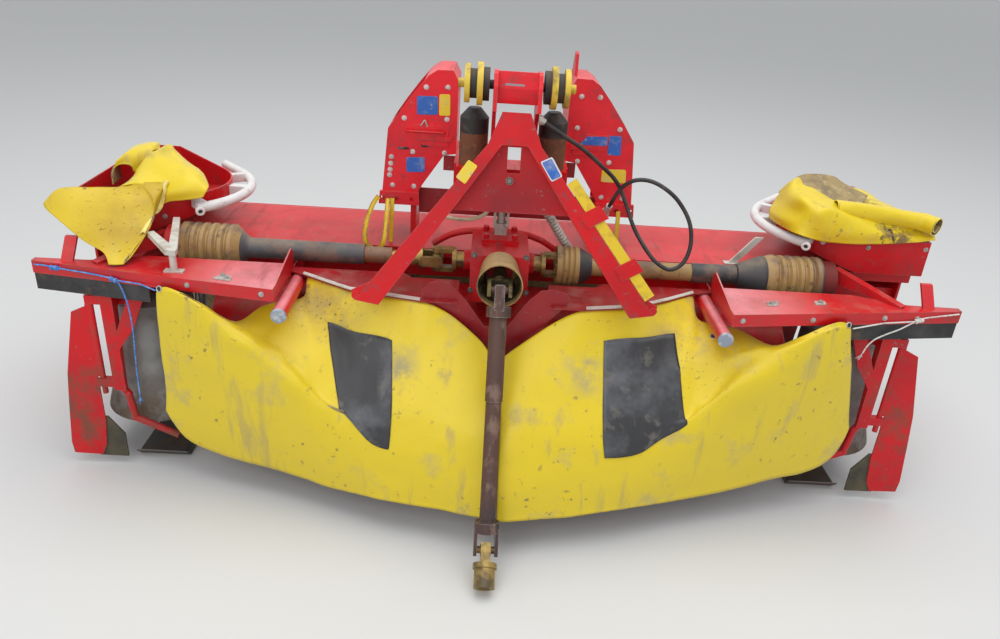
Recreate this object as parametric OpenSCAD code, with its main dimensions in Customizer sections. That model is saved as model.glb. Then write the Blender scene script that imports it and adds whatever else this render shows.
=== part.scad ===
// Front-mounted disc mower conditioner, 3 m, as it stands parked on its skids.
// X runs across the machine, +Y is the driving direction, -Y the tractor side, +Z up.

/* [Overall] */
// Transport width over the two rear rails
transport_w = 3000; // [2800:10:3200]
// Height of the deck's top above the ground
deck_z = 780; // [760:5:810]
// Thickness of folded sheet
sheet_t = 5; // [3:0.5:6]

/* [Rear deck] */
// Half distance between the inner ends of the two rails
rail_in_x = 717; // [700:1:760]
// Rail line at its inner end
rail_in_y = -340; // [-360:5:-320]
// Rail line at its outer end
rail_out_y = -218; // [-240:5:-200]
// Height of the rail's lip
rail_lip_h = 42; // [30:1:60]
// Front edge of the rear deck
deck_front_y = -130; // [-150:5:-115]
// Half distance between the stub tubes
stub_x = 690; // [684:1:694]
// Radius of the stub tubes
stub_r = 24; // [18:1:28]

/* [Headstock] */
// Lean of the coupling triangle away from the tractor
a_lean = 13; // [8:1:18]
// Width of a triangle leg's face
leg_w = 74; // [60:1:90]
// Depth of a triangle leg
leg_d = 60; // [40:1:70]
// Half distance between the legs' lower ends
foot_x = 428; // [400:1:450]
// Height of the triangle from its feet to its flat top
triangle_h = 600; // [560:5:640]
// Half distance between the top bracket's cheeks
cheek_x = 66; // [56:1:80]
// Thickness of the cheeks
cheek_t = 12; // [8:1:16]
// Radius of the pin hole across the cheeks
top_pin_r = 12.75; // [10:0.25:16]
// Rear face of the towers
tower_y = 147; // [140:1:160]
// Depth of the towers
tower_d = 200; // [150:5:240]
// Radius of the relief spring cans
can_r = 46; // [36:1:52]
// Radius of the guide rollers
roller_r = 64; // [50:1:70]

/* [Drive] */
// Offset of the gearbox and the front shaft from the machine's middle
gear_x = -20; // [-40:1:0]
// Height of the gearbox input
input_z = 825; // [815:1:835]
// Line of the two cross shafts along Y
cross_y = -15; // [-20:1:-5]
// Height of the two cross shafts
cross_z = 782; // [770:1:795]
// Radius of the cross shafts' guard tubes
guard_r = 30; // [26:1:36]
// Running clearance between a shaft and its guard or bearing
run_gap = 0.5; // [0.3:0.1:1]
// Horizontal reach of the front shaft from its upper joint to its lower joint
shaft_reach = 323; // [280:1:360]
// Angle of the free yoke from the vertical, as it rests on the ground
yoke_tilt = 55; // [45:1:65]
// Radius of the splined bore in the free yoke
spline_r = 17.45; // [15:0.05:20]

/* [Mowing unit] */
// Number of cutting discs
disc_n = 7; // [7:1:7]
// Distance between neighbouring discs
disc_pitch = 400; // [390:1:420]
// Line of the discs along Y
disc_y = 370; // [360:1:380]
// Radius of a disc's plate
disc_r = 175; // [150:1:180]
// Narrow half width of a disc's plate
disc_half = 130; // [110:1:135]
// Radius that the blades' tips reach
blade_reach = 235; // [210:1:240]
// Height of the discs' plates
disc_z = 122; // [118:1:130]
// Line of the tined rotor along Y
rotor_y = 30; // [20:1:40]
// Height of the tined rotor's axis
rotor_z = 420; // [410:1:430]
// Radius over the rotor's tines
rotor_r = 215; // [190:1:220]
// Half length of the tined rotor
rotor_half = 955; // [900:5:960]

/* [Swath forming] */
// Half distance between the two swath cones
cone_x = 1235; // [1225:1:1245]
// Line of the swath cones along Y
cone_y = -5; // [-15:1:5]
// Radius of a swath cone's flared foot
cone_r = 185; // [170:1:190]
// Half distance between the swath boards' hinges
board_x = 1340; // [1330:1:1345]
// Width of a swath board
board_w = 150; // [120:1:155]

/* [Guards] */
// Half distance between the side guards' hinges
hinge_x = 1478; // [1470:1:1485]
// Height of the side guards' hinges
hinge_z = 794; // [790:1:800]
// Length of a side guard along Y
tray_len = 670; // [600:5:680]
// Height of a side guard's rim at its hinge
rim_h = 125; // [90:1:140]
// Radius of the bumper hoops' tube
hoop_r = 17; // [12:1:20]
// Reach of the front guard beyond its hinge
front_reach = 96; // [86:1:120]

/* [Hidden] */
$fn = 40;

rail_out_x = transport_w / 2;
paint = "firebrick";
steel = "silver";
dark = "dimgray";
cloth = "gold";
tan_plastic = "tan";

// Extrudes an outline of [y, z] points along X, from x over t.
module plate_x(points, x, t)
    translate([x, 0, 0]) rotate([90, 0, 90]) linear_extrude(t) polygon(points);

// Extrudes an outline of [x, z] points along Y, from y over t.
module plate_y(points, y, t)
    translate([0, y + t, 0]) rotate([90, 0, 0]) linear_extrude(t) polygon(points);

// Extrudes an outline of [x, y] points upwards, from z over t.
module plate_z(points, z, t)
    translate([0, 0, z]) linear_extrude(t) polygon(points);

// Turns a child that stands on +Z so that it runs from p to q.
module along(p, q) {
    d = q - p;
    translate(p) rotate([0, acos(d.z / norm(d)), atan2(d.y, d.x)]) children();
}

module rod(p, q, r) along(p, q) cylinder(h = norm(q - p), r = r);

module side(s) mirror([s > 0 ? 0 : 1, 0, 0]) children();

// Cylinder along X, from x over len.
module rod_x(x, y, z, len, r) translate([x, y, z]) rotate([0, 90, 0]) cylinder(h = len, r = r);

// Cylinder along Y, from y over len.
module rod_y(x, y, z, len, r) translate([x, y, z]) rotate([-90, 0, 0]) cylinder(h = len, r = r);

// Headstock

leg_foot_z = 745;
beam_z = 1040;
beam_h = 80;
a_foot_y = -335;
a_top_half = 42;
plate_half = 80;
plate_z0 = 505;

// Places a child that is drawn in the coupling triangle's own plane, feet at z 0.
module in_triangle() translate([0, a_foot_y, leg_foot_z]) rotate([-a_lean, 0, 0]) children();

module a_leg() {
    plate_y([[foot_x - leg_w / 2, 0], [foot_x + leg_w / 2, 12], [plate_half, plate_z0],
        [a_top_half, triangle_h], [0, triangle_h], [0, plate_z0], [a_top_half - 4, plate_z0]], 0, 8);
    plate_y([[foot_x + leg_w / 2 - 8, 11], [foot_x + leg_w / 2, 12], [plate_half, plate_z0],
        [plate_half - 8, plate_z0]], 0, leg_d);
    plate_y([[foot_x - leg_w / 2, 0], [foot_x - leg_w / 2 + 8, 1], [a_top_half + 4, plate_z0],
        [a_top_half - 4, plate_z0]], 0, leg_d);
}

module a_frame() color(paint) in_triangle() difference() {
    union() {
        for (s = [-1, 1]) side(s) a_leg();
        translate([-a_top_half, 0, triangle_h - 8]) cube([2 * a_top_half, leg_d + 60, 8]);
        cross_web();
        for (s = [-1, 1]) side(s) foot_hook();
        for (z = [305, 150]) bar_keeper(z);
    }
    translate([-18, -1, plate_z0 - 84]) cube([40, leg_d + 60, 78]);
}

// Outer edge of a leg at a height.
function leg_edge(z) = foot_x + leg_w / 2 - (foot_x + leg_w / 2 - plate_half) * (z - 12) / (plate_z0 - 12);

// Lug with a roller on the outer side of a leg's foot.
module foot_hook() {
    plate_y([[leg_edge(40) - 10, 14], [leg_edge(40) + 26, 10], [leg_edge(40) + 34, 40],
        [leg_edge(60) - 10, 70]], 14, 12);
    rod_y(leg_edge(40) + 20, 4, 26, 34, 12);
}

// Keeper that holds the yellow bar at a height.
module bar_keeper(z) {
    plate_y([[leg_edge(z + 18) - 16, z + 6], [leg_edge(z + 18) + 44, z + 40],
        [leg_edge(z - 18) + 48, z + 2],
        [leg_edge(z - 18) - 14, z - 32]], -4 - seat, 4);
    plate_y([[leg_edge(z + 18) - 16, z + 6], [leg_edge(z + 12) - 3, z + 12], [leg_edge(z - 26) - 3, z - 26],
        [leg_edge(z - 18) - 14, z - 32]], -2, 6);
}

// Trapezoid web behind the legs.
module cross_web()
    plate_y([[-232, 300], [232, 300], [plate_half - 20, plate_z0 + 20], [-plate_half + 20, plate_z0 + 20]],
        leg_d, web_t);

bracket_y = -192;
bracket_top = 1438;
roller_y = -62;
roller_z = 1382;
axle_r = 14;
seat = 0.3;

// Height of the triangle's flat top at a place along Y.
function top_z(y) = leg_foot_z + triangle_h * cos(a_lean)
    - (y - a_foot_y - triangle_h * sin(a_lean)) * tan(a_lean);

cheek_outline = [[bracket_y, top_z(bracket_y) + seat], [bracket_y + 8, bracket_top - 40],
    [bracket_y + 26, bracket_top - 6], [bracket_y + 50, bracket_top], [bracket_y + 96, bracket_top - 4],
    [roller_y + 36, roller_z + 24], [roller_y + 36, 1200], [-10, beam_z + beam_h + seat],
    [-58, beam_z + beam_h + seat], [-76, 1250], [-95, top_z(-95) + seat]];

module top_bracket() color(paint) difference() {
    union() {
        for (s = [-1, 1]) side(s) plate_x(cheek_outline, cheek_x - cheek_t / 2, cheek_t);
        plate_x([[bracket_y + 52, bracket_top - 2], [bracket_y + 44, bracket_top - 50],
            [bracket_y + 50, bracket_top - 96], [bracket_y + 57, bracket_top - 95],
            [bracket_y + 51, bracket_top - 50], [bracket_y + 59, bracket_top - 2]], -cheek_x, 2 * cheek_x);
    }
    rod_x(-cheek_x - cheek_t, bracket_y + 24, bracket_top - 50, 2 * (cheek_x + cheek_t), top_pin_r);
    rod_x(-cheek_x - cheek_t, roller_y, roller_z, 2 * (cheek_x + cheek_t), axle_r + 0.05);
}

module rollers() color("gold") {
    rod_x(-180, roller_y, roller_z, 360, axle_r);
    for (s = [-1, 1]) side(s) {
        rod_x(84, roller_y, roller_z, 20, roller_r - 14);
        rod_x(104, roller_y, roller_z, 18, roller_r);
        rod_x(122, roller_y, roller_z, 22, roller_r - 20);
        rod_x(144, roller_y, roller_z, 16, roller_r - 6);
    }
}

web_t = 8;

// Place along Y of the cross web's back at a height.
function web_back(z) = a_foot_y + (leg_d + web_t) * cos(a_lean) + seat
    + (z - leg_foot_z + (leg_d + web_t) * sin(a_lean)) * tan(a_lean);

module headstock_beam() color(paint) {
    translate([-178, -60, beam_z]) cube([356, 120, beam_h]);
    for (s = [-1, 1]) side(s) {
        plate_x([[web_back(beam_z), beam_z], [-60, beam_z], [-60, beam_z + beam_h],
            [web_back(beam_z + beam_h), beam_z + beam_h]], 150, 10);
        translate([178, -20, beam_z]) cube([7.7, 300, beam_h]);
    }
}

module spring_cans() color("saddlebrown") for (s = [-1, 1]) side(s) {
    translate([126, -8, beam_z + beam_h]) cylinder(h = 150, r = can_r);
    translate([126, -8, beam_z + beam_h + 150]) cylinder(h = 30, r1 = can_r, r2 = 20);
}

tower_z0 = 915;
flange_t = 12;
tower_outline = [[256, 1381], [204, 1382], [186, 1347], [186, 1105], [228, 1098], [318, 963],
    [318, tower_z0], [440, tower_z0], [440, 955], [420, 1180], [376, 1245], [328, 1310], [285, 1362]];

module tower() {
    plate_y(tower_outline, tower_y, sheet_t);
    difference() {
        plate_y(tower_outline, tower_y + sheet_t, tower_d);
        translate([200, tower_y + sheet_t, 930]) cube([204, tower_d - 8, 415]);
    }
    difference() {
        plate_y([[308, tower_z0 + 2], [451, tower_z0 + 2], [447, tower_z0 + 48], [312, tower_z0 + 48]],
            tower_y - flange_t, flange_t + 1);
        for (x = [334, 386, 436]) rod_y(x, tower_y - flange_t - 1, tower_z0 + 24, flange_t + 3, 8);
    }
    plate_y([[214, 1130], [300, 1130], [330, 1165], [330, 1200], [214, 1200]], tower_y - 5, 6);
    translate([204, tower_y - 9, 1150]) cube([100, 10, 12]);
}

module tower_left() color(paint) side(-1) tower();

module tower_right() color(paint) {
    tower();
    plate_x([[tower_y + 60, 1380], [tower_y + 160, 1372], [260, 1450], [240, 1456], [215, 1450]], 200, 10);
}

// Drive

box_half = 95;
box_y0 = -175;
box_y1 = 70;

module center_gearbox() color(paint) {
    translate([gear_x - box_half, box_y0, 700]) cube([2 * box_half, box_y1 - box_y0, 165]);
    rod_y(gear_x, box_y0 - 30, input_z, 60, 42);
    difference() {
        union() {
            rod_y(gear_x, upper_joint.y + 60, input_z, box_y0 - upper_joint.y - 60, 22);
            translate([gear_x - ear_out, upper_joint.y + 48, input_z - 16]) cube([2 * ear_out, 14, 32]);
            for (s = [-1, 1]) translate([gear_x + (s > 0 ? ear_in : -ear_out), upper_joint.y - 16,
                input_z - 16])
                cube([ear_out - ear_in, 70, 32]);
        }
        rod_x(gear_x - ear_out - 1, upper_joint.y, input_z, 2 * ear_out + 2, pin_r + 0.05);
    }
    for (s = [-1, 1])
        rod_x(gear_x + (s > 0 ? box_half : -box_half - boss_len), cross_y, cross_z, boss_len, 36);
    translate([gear_x - 62, -64, 864]) cube([124, 118, 15]);
    for (x = [-48, 48]) for (y = [-44, 34]) translate([gear_x + x, y, 878]) cylinder(h = 15, r = 10);
}

module input_cone() color(tan_plastic)
    translate([gear_x, box_y0 - 30, input_z]) rotate([90, 0, 0]) rotate_extrude()
        polygon([[42 + seat, -20], [60, -20], [72, 120], [68, 120], [54, -12], [42 + seat, -12]]);

link_y = 5;

module center_link() color(dark) {
    difference() {
        translate([gear_x - 20, link_y - 20, 879]) cube([40, 40, 40]);
        rod_x(gear_x - 30, link_y, 900, 60, 8);
    }
    for (x = [-26, 18]) translate([gear_x + x, link_y - 25, 905]) cube([8, 50, beam_z - seat - 905]);
    translate([gear_x, link_y, 918]) cylinder(h = beam_z - seat - 918, r = 14);
    translate([gear_x - 26, link_y - 16, 985]) cube([52, 32, 16]);
    lift_spring();
}

// Coil spring between the hood's rear edge and the beam.
spring_turns = 13;

module lift_spring() {
    foot = [226, 94, deck_z + 26];
    head = [136, 50, 948];
    d = head - foot;
    pitch = norm(d) / spring_turns;
    along(foot, head) rotate_extrude(convexity = 4) polygon(concat([[0, 0]],
        [for (i = [0 : 2 * spring_turns])
        [i % 2 == 0 ? 13 : 17, i * pitch / 2]], [[0, spring_turns * pitch]]));
    rod([foot.x, foot.y, deck_z + seat], foot, 6);
    rod(head, [head.x, head.y, beam_z - seat], 6);
    translate(foot) sphere(r = 12);
    translate(head) sphere(r = 12);
}

// A cross shaft's joint at the middle gearbox: hub, two pairs of ears and the cross between them.
joint_len = 180;

module joint_at(x, s) translate([x, cross_y, cross_z]) rotate([0, s > 0 ? 90 : -90, 0]) {
    cylinder(h = 40, r = 28);
    translate([0, 0, 26]) cylinder(h = 14, r = 40);
    for (t = [-1, 1]) translate([t > 0 ? 27 : -41, -17, 34]) cube([14, 34, 58]);
    for (t = [-1, 1]) translate([t > 0 ? 27 : -41, 0, 90]) rotate([0, 90, 0]) cylinder(h = 14, r = 19);
    translate([-43, 0, 90]) rotate([0, 90, 0]) cylinder(h = 86, r = 10);
    translate([0, -43, 90]) rotate([-90, 0, 0]) cylinder(h = 86, r = 10);
    translate([0, 0, 90]) sphere(r = 20);
    for (t = [-1, 1]) translate([-17, t > 0 ? 27 : -41, 88]) cube([34, 14, 58]);
    for (t = [-1, 1]) translate([0, t > 0 ? 27 : -41, 90]) rotate([-90, 0, 0]) cylinder(h = 14, r = 19);
    translate([0, 0, 140]) cylinder(h = 12, r = 41);
    translate([0, 0, 140]) cylinder(h = joint_len - 140, r = 28);
}

core_r = 20;
right_end_x = 1085;
left_end_x = -1085;

module cross_shaft(x0, s, length) {
    joint_at(x0, s);
    rod_x(s > 0 ? x0 + joint_len - 1 : x0 - length, cross_y, cross_z, length - joint_len + 1, core_r);
}

boss_len = 24;
joint_x0 = boss_len + seat;

module cross_shaft_left() color("peru")
    cross_shaft(gear_x - box_half - joint_x0, -1, gear_x - box_half - joint_x0 - left_end_x);

module cross_shaft_right() color("peru")
    cross_shaft(gear_x + box_half + joint_x0, 1, right_end_x - gear_x - box_half - joint_x0);

rib_pitch = 30;
rib_r = 78;
bell_len = 190;

// Outline of a guard's ribbed bell at the end gearbox: [radius, distance].
bell_outer = concat([[rib_r, 0], [rib_r, 20]], [for (i = [0 : 4]) each [[rib_r - 9,
    20 + (i + 0.2) * rib_pitch],
    [rib_r - 9, 20 + (i + 0.35) * rib_pitch], [rib_r, 20 + (i + 0.6) * rib_pitch],
    [rib_r, 20 + (i + 1) * rib_pitch]]]);

// Left guard: bell, wide tube and narrow tube, drawn along +Z from the end gearbox to the middle.
module guard_left_shape() rotate_extrude() polygon(concat(bell_outer, [[60, bell_len], [40, bell_len + 22],
    [guard_r + 5, bell_len + 30], [guard_r + 5, 607], [guard_r - 2, 608], [guard_r - 2, 700],
    [core_r + 4, 700],
    [core_r + 4, bell_len + 24], [54, bell_len - 6], [rib_r - 14, bell_len - 20], [rib_r - 14, 0]]));

// Right guard: bell, fluted cone, tubes, second cone and a ribbed collar over the joint.
module guard_right_shape() rotate_extrude() polygon(concat(bell_outer, [[70, bell_len], [72, bell_len + 10],
    [40, bell_len + 92], [guard_r + 4, bell_len + 96], [guard_r + 4, 440], [guard_r, 441], [guard_r, 786],
    [44, 790], [66, 832], [68, 838], [68, 846], [63, 850], [68, 856], [68, 864], [63, 868], [68, 874],
    [68, 882],
    [63, 886], [68, 892], [68, 908], [62, 908], [62, 838], [40, 798], [core_r + 4, 792],
    [core_r + 4, bell_len + 88],
    [64, bell_len + 6], [rib_r - 14, bell_len - 10], [rib_r - 14, 0]]));

module shaft_guard_left() color(dark) translate([left_end_x, cross_y, cross_z]) rotate([0, 90, 0])
    guard_left_shape();

module shaft_guard_right() color(dark) translate([right_end_x, cross_y, cross_z]) rotate([0, -90, 0])
    guard_right_shape();

end_box_r = 66;
end_box_len = 50;
belt_x = rotor_half + 30;

module end_gearbox_right() color(paint) {
    difference() {
        rod_x(right_end_x, cross_y, cross_z, end_box_len, end_box_r);
        rod_x(right_end_x - 1, cross_y, cross_z, 40, core_r + run_gap);
    }
    difference() {
        plate_x([[cross_y - 60, 640], [cross_y - 60, 700], [cross_y + 60, 700], [cross_y + 60, 640],
            [rotor_y + 62, rotor_z], [rotor_y + 44, rotor_z - 44], [rotor_y, rotor_z - 62],
            [rotor_y - 44, rotor_z - 44], [rotor_y - 62, rotor_z]], belt_x, 55);
        rod_x(belt_x - 1, rotor_y, rotor_z, 30, 20.3);
    }
    translate([belt_x, cross_y - 60, 640]) cube([right_end_x + end_box_len - belt_x, 120, 60]);
    translate([right_end_x + seat, cross_y - 60, 640]) cube([end_box_len - seat, 120, 100]);
}

shaft_top = 640;
case_x0 = 1270;
case_x1 = 1130;

module end_gearbox_left() color(paint) {
    difference() {
        rod_x(left_end_x - end_box_len, cross_y, cross_z, end_box_len, end_box_r);
        rod_x(left_end_x - 39, cross_y, cross_z, 40, core_r + run_gap);
    }
    difference() {
        translate([-case_x0, cross_y - 60, shaft_top]) cube([case_x0 - case_x1, disc_y - cross_y + 130,
            60]);
        translate([disc_x(1), disc_y, shaft_top - 1]) cylinder(h = 21, r = 24.3);
    }
    translate([-1180, cross_y - 60, shaft_top]) cube([1180 + left_end_x - seat, 120, 100]);
}

// Mowing unit

bar_y0 = 300;
bar_y1 = 440;
bar_half = (disc_n - 1) / 2 * disc_pitch + 220;
side_x = bar_half + 20;

module cutter_bar() color(dark) {
    plate_x([[bar_y0, 62], [bar_y0 + 20, 48], [bar_y1 - 16, 48], [bar_y1, 66], [bar_y1 - 20, 100],
        [bar_y0 + 16, 100]], -bar_half, 2 * bar_half);
    for (i = [0 : disc_n - 1]) translate([(i - 3) * disc_pitch, disc_y, 100 - 1]) cylinder(h = 13, r = 60);
    for (i = [0 : disc_n - 1]) translate([(i - 3) * disc_pitch, 0, 0]) {
        tail = i == 0 || i == disc_n - 1 ? -170 : 150;
        plate_x([[tail, 30], [tail, 36], [tail + 30, 14], [bar_y1 - 20, 8], [bar_y1 + 40, 40],
            [bar_y1 + 58, 84], [bar_y1 + 64, 80], [bar_y1 + 46, 34], [bar_y1 - 10, 0],
            [tail + 30, 0]], -90, 180);
        plate_x([[bar_y0 + 30, 6], [bar_y1 - 30, 6], [bar_y1 - 30, 50], [bar_y0 + 30, 50]], -60, 120);
    }
}

function disc_x(i) = (i - (disc_n + 1) / 2) * disc_pitch;

module disc(i) translate([disc_x(i), disc_y, 0]) rotate(i % 2 == 0 ? 90 : 0) {
    intersection() {
        translate([0, 0, disc_z]) cylinder(h = 6, r = disc_r);
        translate([-disc_r, -disc_half, disc_z]) cube([2 * disc_r, 2 * disc_half, 6]);
    }
    translate([0, 0, disc_z + 6]) cylinder(h = 24, r1 = 96, r2 = 66);
    translate([0, 0, disc_z + 30]) cylinder(h = 10, r = 30);
    translate([0, 0, 112.3]) cylinder(h = disc_z - 112.3, r = 45);
    for (s = [-1, 1]) side(s) translate([130, -22, disc_z - 5]) cube([blade_reach - 130, 44, 5]);
}

module disc_node(i) color(steel) {
    disc(i);
    if (i == 1) translate([disc_x(1), disc_y, disc_z + 40]) cylinder(h = shaft_top - disc_z - 25, r = 24);
}

module disc_1() disc_node(1);
module disc_2() disc_node(2);
module disc_3() disc_node(3);
module disc_4() disc_node(4);
module disc_5() disc_node(5);
module disc_6() disc_node(6);
module disc_7() disc_node(7);

tine_n = 16;
rotor_core = 52;

module conditioner_rotor() color(dark) {
    rod_x(-rotor_half, rotor_y, rotor_z, 2 * rotor_half, rotor_core);
    rod_x(-rotor_half - 26, rotor_y, rotor_z, 2 * rotor_half + 76, 20);
    for (i = [0 : tine_n - 1]) for (k = [0, 1])
        translate([(i + 0.5) * 2 * (rotor_half - 20) / tine_n - rotor_half + 20, rotor_y, rotor_z])
            rotate([90 * k + 45 * (i % 2), 0, 0]) translate([-12, -4, -rotor_r]) cube([24, 8, 2 * rotor_r]);
}

hood_r = 235;

module conditioner_hood() color(paint) {
    translate([-rotor_half - 20, rotor_y, rotor_z]) rotate([90, 0, 90]) linear_extrude(2 * rotor_half + 40)
        difference() {
            circle(r = hood_r, $fn = 64);
            circle(r = hood_r - sheet_t, $fn = 64);
            polygon([[0, 0], [-400, 220], [-400, -400], [400, -400], [400, 40]]);
        }
    for (s = [-1, 1]) side(s) difference() {
        plate_x([[-190, 560], [-60, 640], [200, 640], [270, 500], [270, 380], [-120, 300]],
            rotor_half + 20, sheet_t);
        rod_x(rotor_half, rotor_y, rotor_z, 60, 20.3);
    }
}

frame_y = 120;
frame_d = 90;
frame_z = 660;
frame_h = 82;

module mower_frame() color(paint) {
    translate([-case_x1 + seat, frame_y, frame_z]) cube([case_x1 - seat + 1200, frame_d, frame_h]);
    for (s = [-1, 1]) side(s) {
        translate([320, 152, frame_z + frame_h]) cube([20, 150, tower_z0 - frame_z - frame_h - seat]);
        for (x = [600, 1100]) translate([x, frame_y, frame_z + frame_h])
            cube([10, frame_d, deck_z - sheet_t - seat - frame_z - frame_h]);
    }
    translate([gear_x - 60, box_y1 + seat, 690]) cube([120, frame_y - box_y1, 52]);
}

module side_plate(s) color(paint) side(s) {
    plate_x([[86, 300], [300, 100], [300, 30], [480, 30], [500, 180], [420, deck_z - sheet_t - seat],
        [86, deck_z - sheet_t - seat]], side_x, 8);
    for (y = [knuckle_y[0] + knuckle_len + 2, knuckle_y[1] - eye_t - 2]) difference() {
        union() {
            rod_y(hinge_x, y, hinge_z, eye_t, eye_r);
            translate([hinge_x - 5, y, 745]) cube([10, eye_t, hinge_z - 745 - 4]);
            translate([side_x + 6, y, 745]) cube([hinge_x - side_x - 6, eye_t, 20]);
        }
        rod_y(hinge_x, y - 1, hinge_z, eye_t + 2, hinge_r + eye_gap);
    }
    inner = s > 0 ? 1200 : case_x0;
    translate([inner + seat, frame_y, frame_z]) cube([side_x - inner - seat, frame_d, 50]);
    translate([bar_half, bar_y0 + 20, 50]) cube([side_x - bar_half, 90, 48]);
}

module side_plate_left() side_plate(-1);
module side_plate_right() side_plate(1);

hood_half = 1470;
hood_y0 = 80;
crest_y = 450;
hood_front_y = 690;

hinge_r = 8;
eye_r = 11.5;
eye_t = 12;
eye_gap = 0.3;
front_eye_x = hood_half - 41;

// Eye of the front guard's hinge, on the hood's lip.
module front_eye() difference() {
    union() {
        rod_x(front_eye_x, front_hinge_y, front_hinge_z, eye_t, eye_r);
        translate([front_eye_x, hood_front_y - sheet_t, front_hinge_z - 8])
            cube([eye_t, front_hinge_y - hood_front_y, 16]);
    }
    rod_x(front_eye_x - 1, front_hinge_y, front_hinge_z, eye_t + 2, hinge_r + eye_gap);
}

module hood() color(paint) {
    hood_sheet();
    for (s = [-1, 1]) side(s) front_eye();
}

module hood_sheet() difference() {
    plate_x([[hood_y0, deck_z - 30], [hood_y0, deck_z], [crest_y, deck_z], [hood_front_y, deck_z - 80],
        [hood_front_y, deck_z - 110], [hood_front_y - sheet_t, deck_z - 110],
        [hood_front_y - sheet_t, deck_z - 84], [crest_y, deck_z - sheet_t],
        [hood_y0 + sheet_t, deck_z - sheet_t],
        [hood_y0 + sheet_t, deck_z - 30]], -hood_half, 2 * hood_half);
    for (s = [-1, 1]) side(s) translate([314, 146, deck_z - 20]) cube([32, 162, 40]);
}

stub_z = 708;
post_x = 1372;
brace_p = [right_end_x + end_box_len + 2, -22];
brace_q = [1290, -226];
brace_h = 52;

module deck() {
    plate_z([[rail_in_x, rail_in_y], [rail_out_x, rail_out_y], [rail_out_x, rail_out_y + 25], [1330, -190],
        [1165, deck_front_y], [rail_in_x, deck_front_y]], deck_z - sheet_t, sheet_t);
    plate_z([[rail_in_x, rail_in_y], [rail_out_x, rail_out_y], [rail_out_x, rail_out_y + sheet_t],
        [rail_in_x, rail_in_y + sheet_t]], deck_z - rail_lip_h, rail_lip_h);
    plate_x([[rail_in_y, deck_z - rail_lip_h], [rail_in_y, deck_z], [-300, deck_z], [-85, deck_z + 35],
        [-60, deck_z + 20], [-60, 740], [frame_y - seat, 740], [frame_y - seat, frame_z], [-105, frame_z],
        [-128, deck_z - rail_lip_h]], rail_in_x - sheet_t, sheet_t);
    difference() {
        rod_y(stub_x, rail_in_y - 30, stub_z, 330, stub_r);
        rod_y(stub_x, rail_in_y - 31, stub_z, 300, stub_r - 5);
    }
    plate_x([[rail_out_y + 2, deck_z - 1], [rail_out_y + 14, deck_z - 1], [rail_out_y + 68, deck_z + 66],
        [rail_out_y + 56, deck_z + 66]], post_x, 38);
    brace();
}

// Diagonal brace from the end gearbox to the rail, with a flange on its sloped edge.
module brace() {
    d = brace_q - brace_p;
    translate([brace_p.x, brace_p.y, deck_z - 1]) rotate(atan2(d.y, d.x)) {
        plate_y([[0, 0], [norm(d), 0], [norm(d), 8], [0, brace_h]], 0, sheet_t);
        plate_y([[0, brace_h - 4], [norm(d), 4], [norm(d), 8], [0, brace_h]], 0, 30);
    }
}

module deck_left() color(paint) side(-1) deck();
module deck_right() color(paint) side(1) deck();

strip_in_x = 1118;

// Place along Y of the rail's rear face.
function rail_face(x) = rail_in_y + (x - rail_in_x) * (rail_out_y - rail_in_y) / (rail_out_x - rail_in_x);

module rail_strips() color("#222222") for (s = [-1, 1]) side(s)
    plate_z([[strip_in_x, rail_face(strip_in_x) + sheet_t + 0.9], [rail_out_x, rail_out_y + sheet_t + 0.9],
        [rail_out_x, rail_out_y + sheet_t + 6.9], [strip_in_x, rail_face(strip_in_x) + sheet_t + 6.9]],
        deck_z - sheet_t - 95, 95 - seat);

wing_z = 735;
wing_half = 150;

// Edges of the middle sheet that the curtains are clamped under, from the outer end.
wing_edge_left = [[669, -119], [586, -171], [502, -222], [385, -250], [268, -277]];
wing_edge_right = [[646, -100], [548, -168], [472, -214], [375, -251], [262, -277]];

module wing(edge) plate_z(concat([[rail_in_x - sheet_t - seat, -60],
    [rail_in_x - sheet_t - seat, edge[0].y + 22]],
    edge, [[wing_half, -277], [wing_half, -95], [310, -95], [340, -60]]), wing_z, sheet_t);

module center_sheet() color("maroon") {
    side(-1) wing(wing_edge_left);
    side(1) wing(wing_edge_right);
    plate_y([[-235, 738], [-260, 742], [-262, 772], [-240, 797], [-207, 805], [-172, 796],
        [-125, 748], [-60, 655],
        [10, 652], [66, 738], [81, 757], [112, 788], [157, 797], [195, 784], [212, 761], [195, 738],
        [15, 545],
        [-54, 540]], -262, sheet_t);
}

// Swath forming

cone_pin_r = 15;

module swath_cone(s) color("gray") translate([s * cone_x, cone_y, 0]) rotate_extrude() polygon([
    [cone_pin_r + 0.05, 560], [60, 560], [60, 585], [134, 585], [150, 270], [cone_r - 6, 170],
    [cone_r, 170],
    [156, 275], [140, 594], [60, 594], [60, 610], [cone_pin_r + 0.05, 610]]);

module swath_cone_left() swath_cone(-1);
module swath_cone_right() swath_cone(1);

board_y = -215;
bent_r = 12;
bent_rod = [[1290, board_y, 340], [1262, board_y, 300], [1250, board_y, 205], [1110, board_y, 140]];

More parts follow.
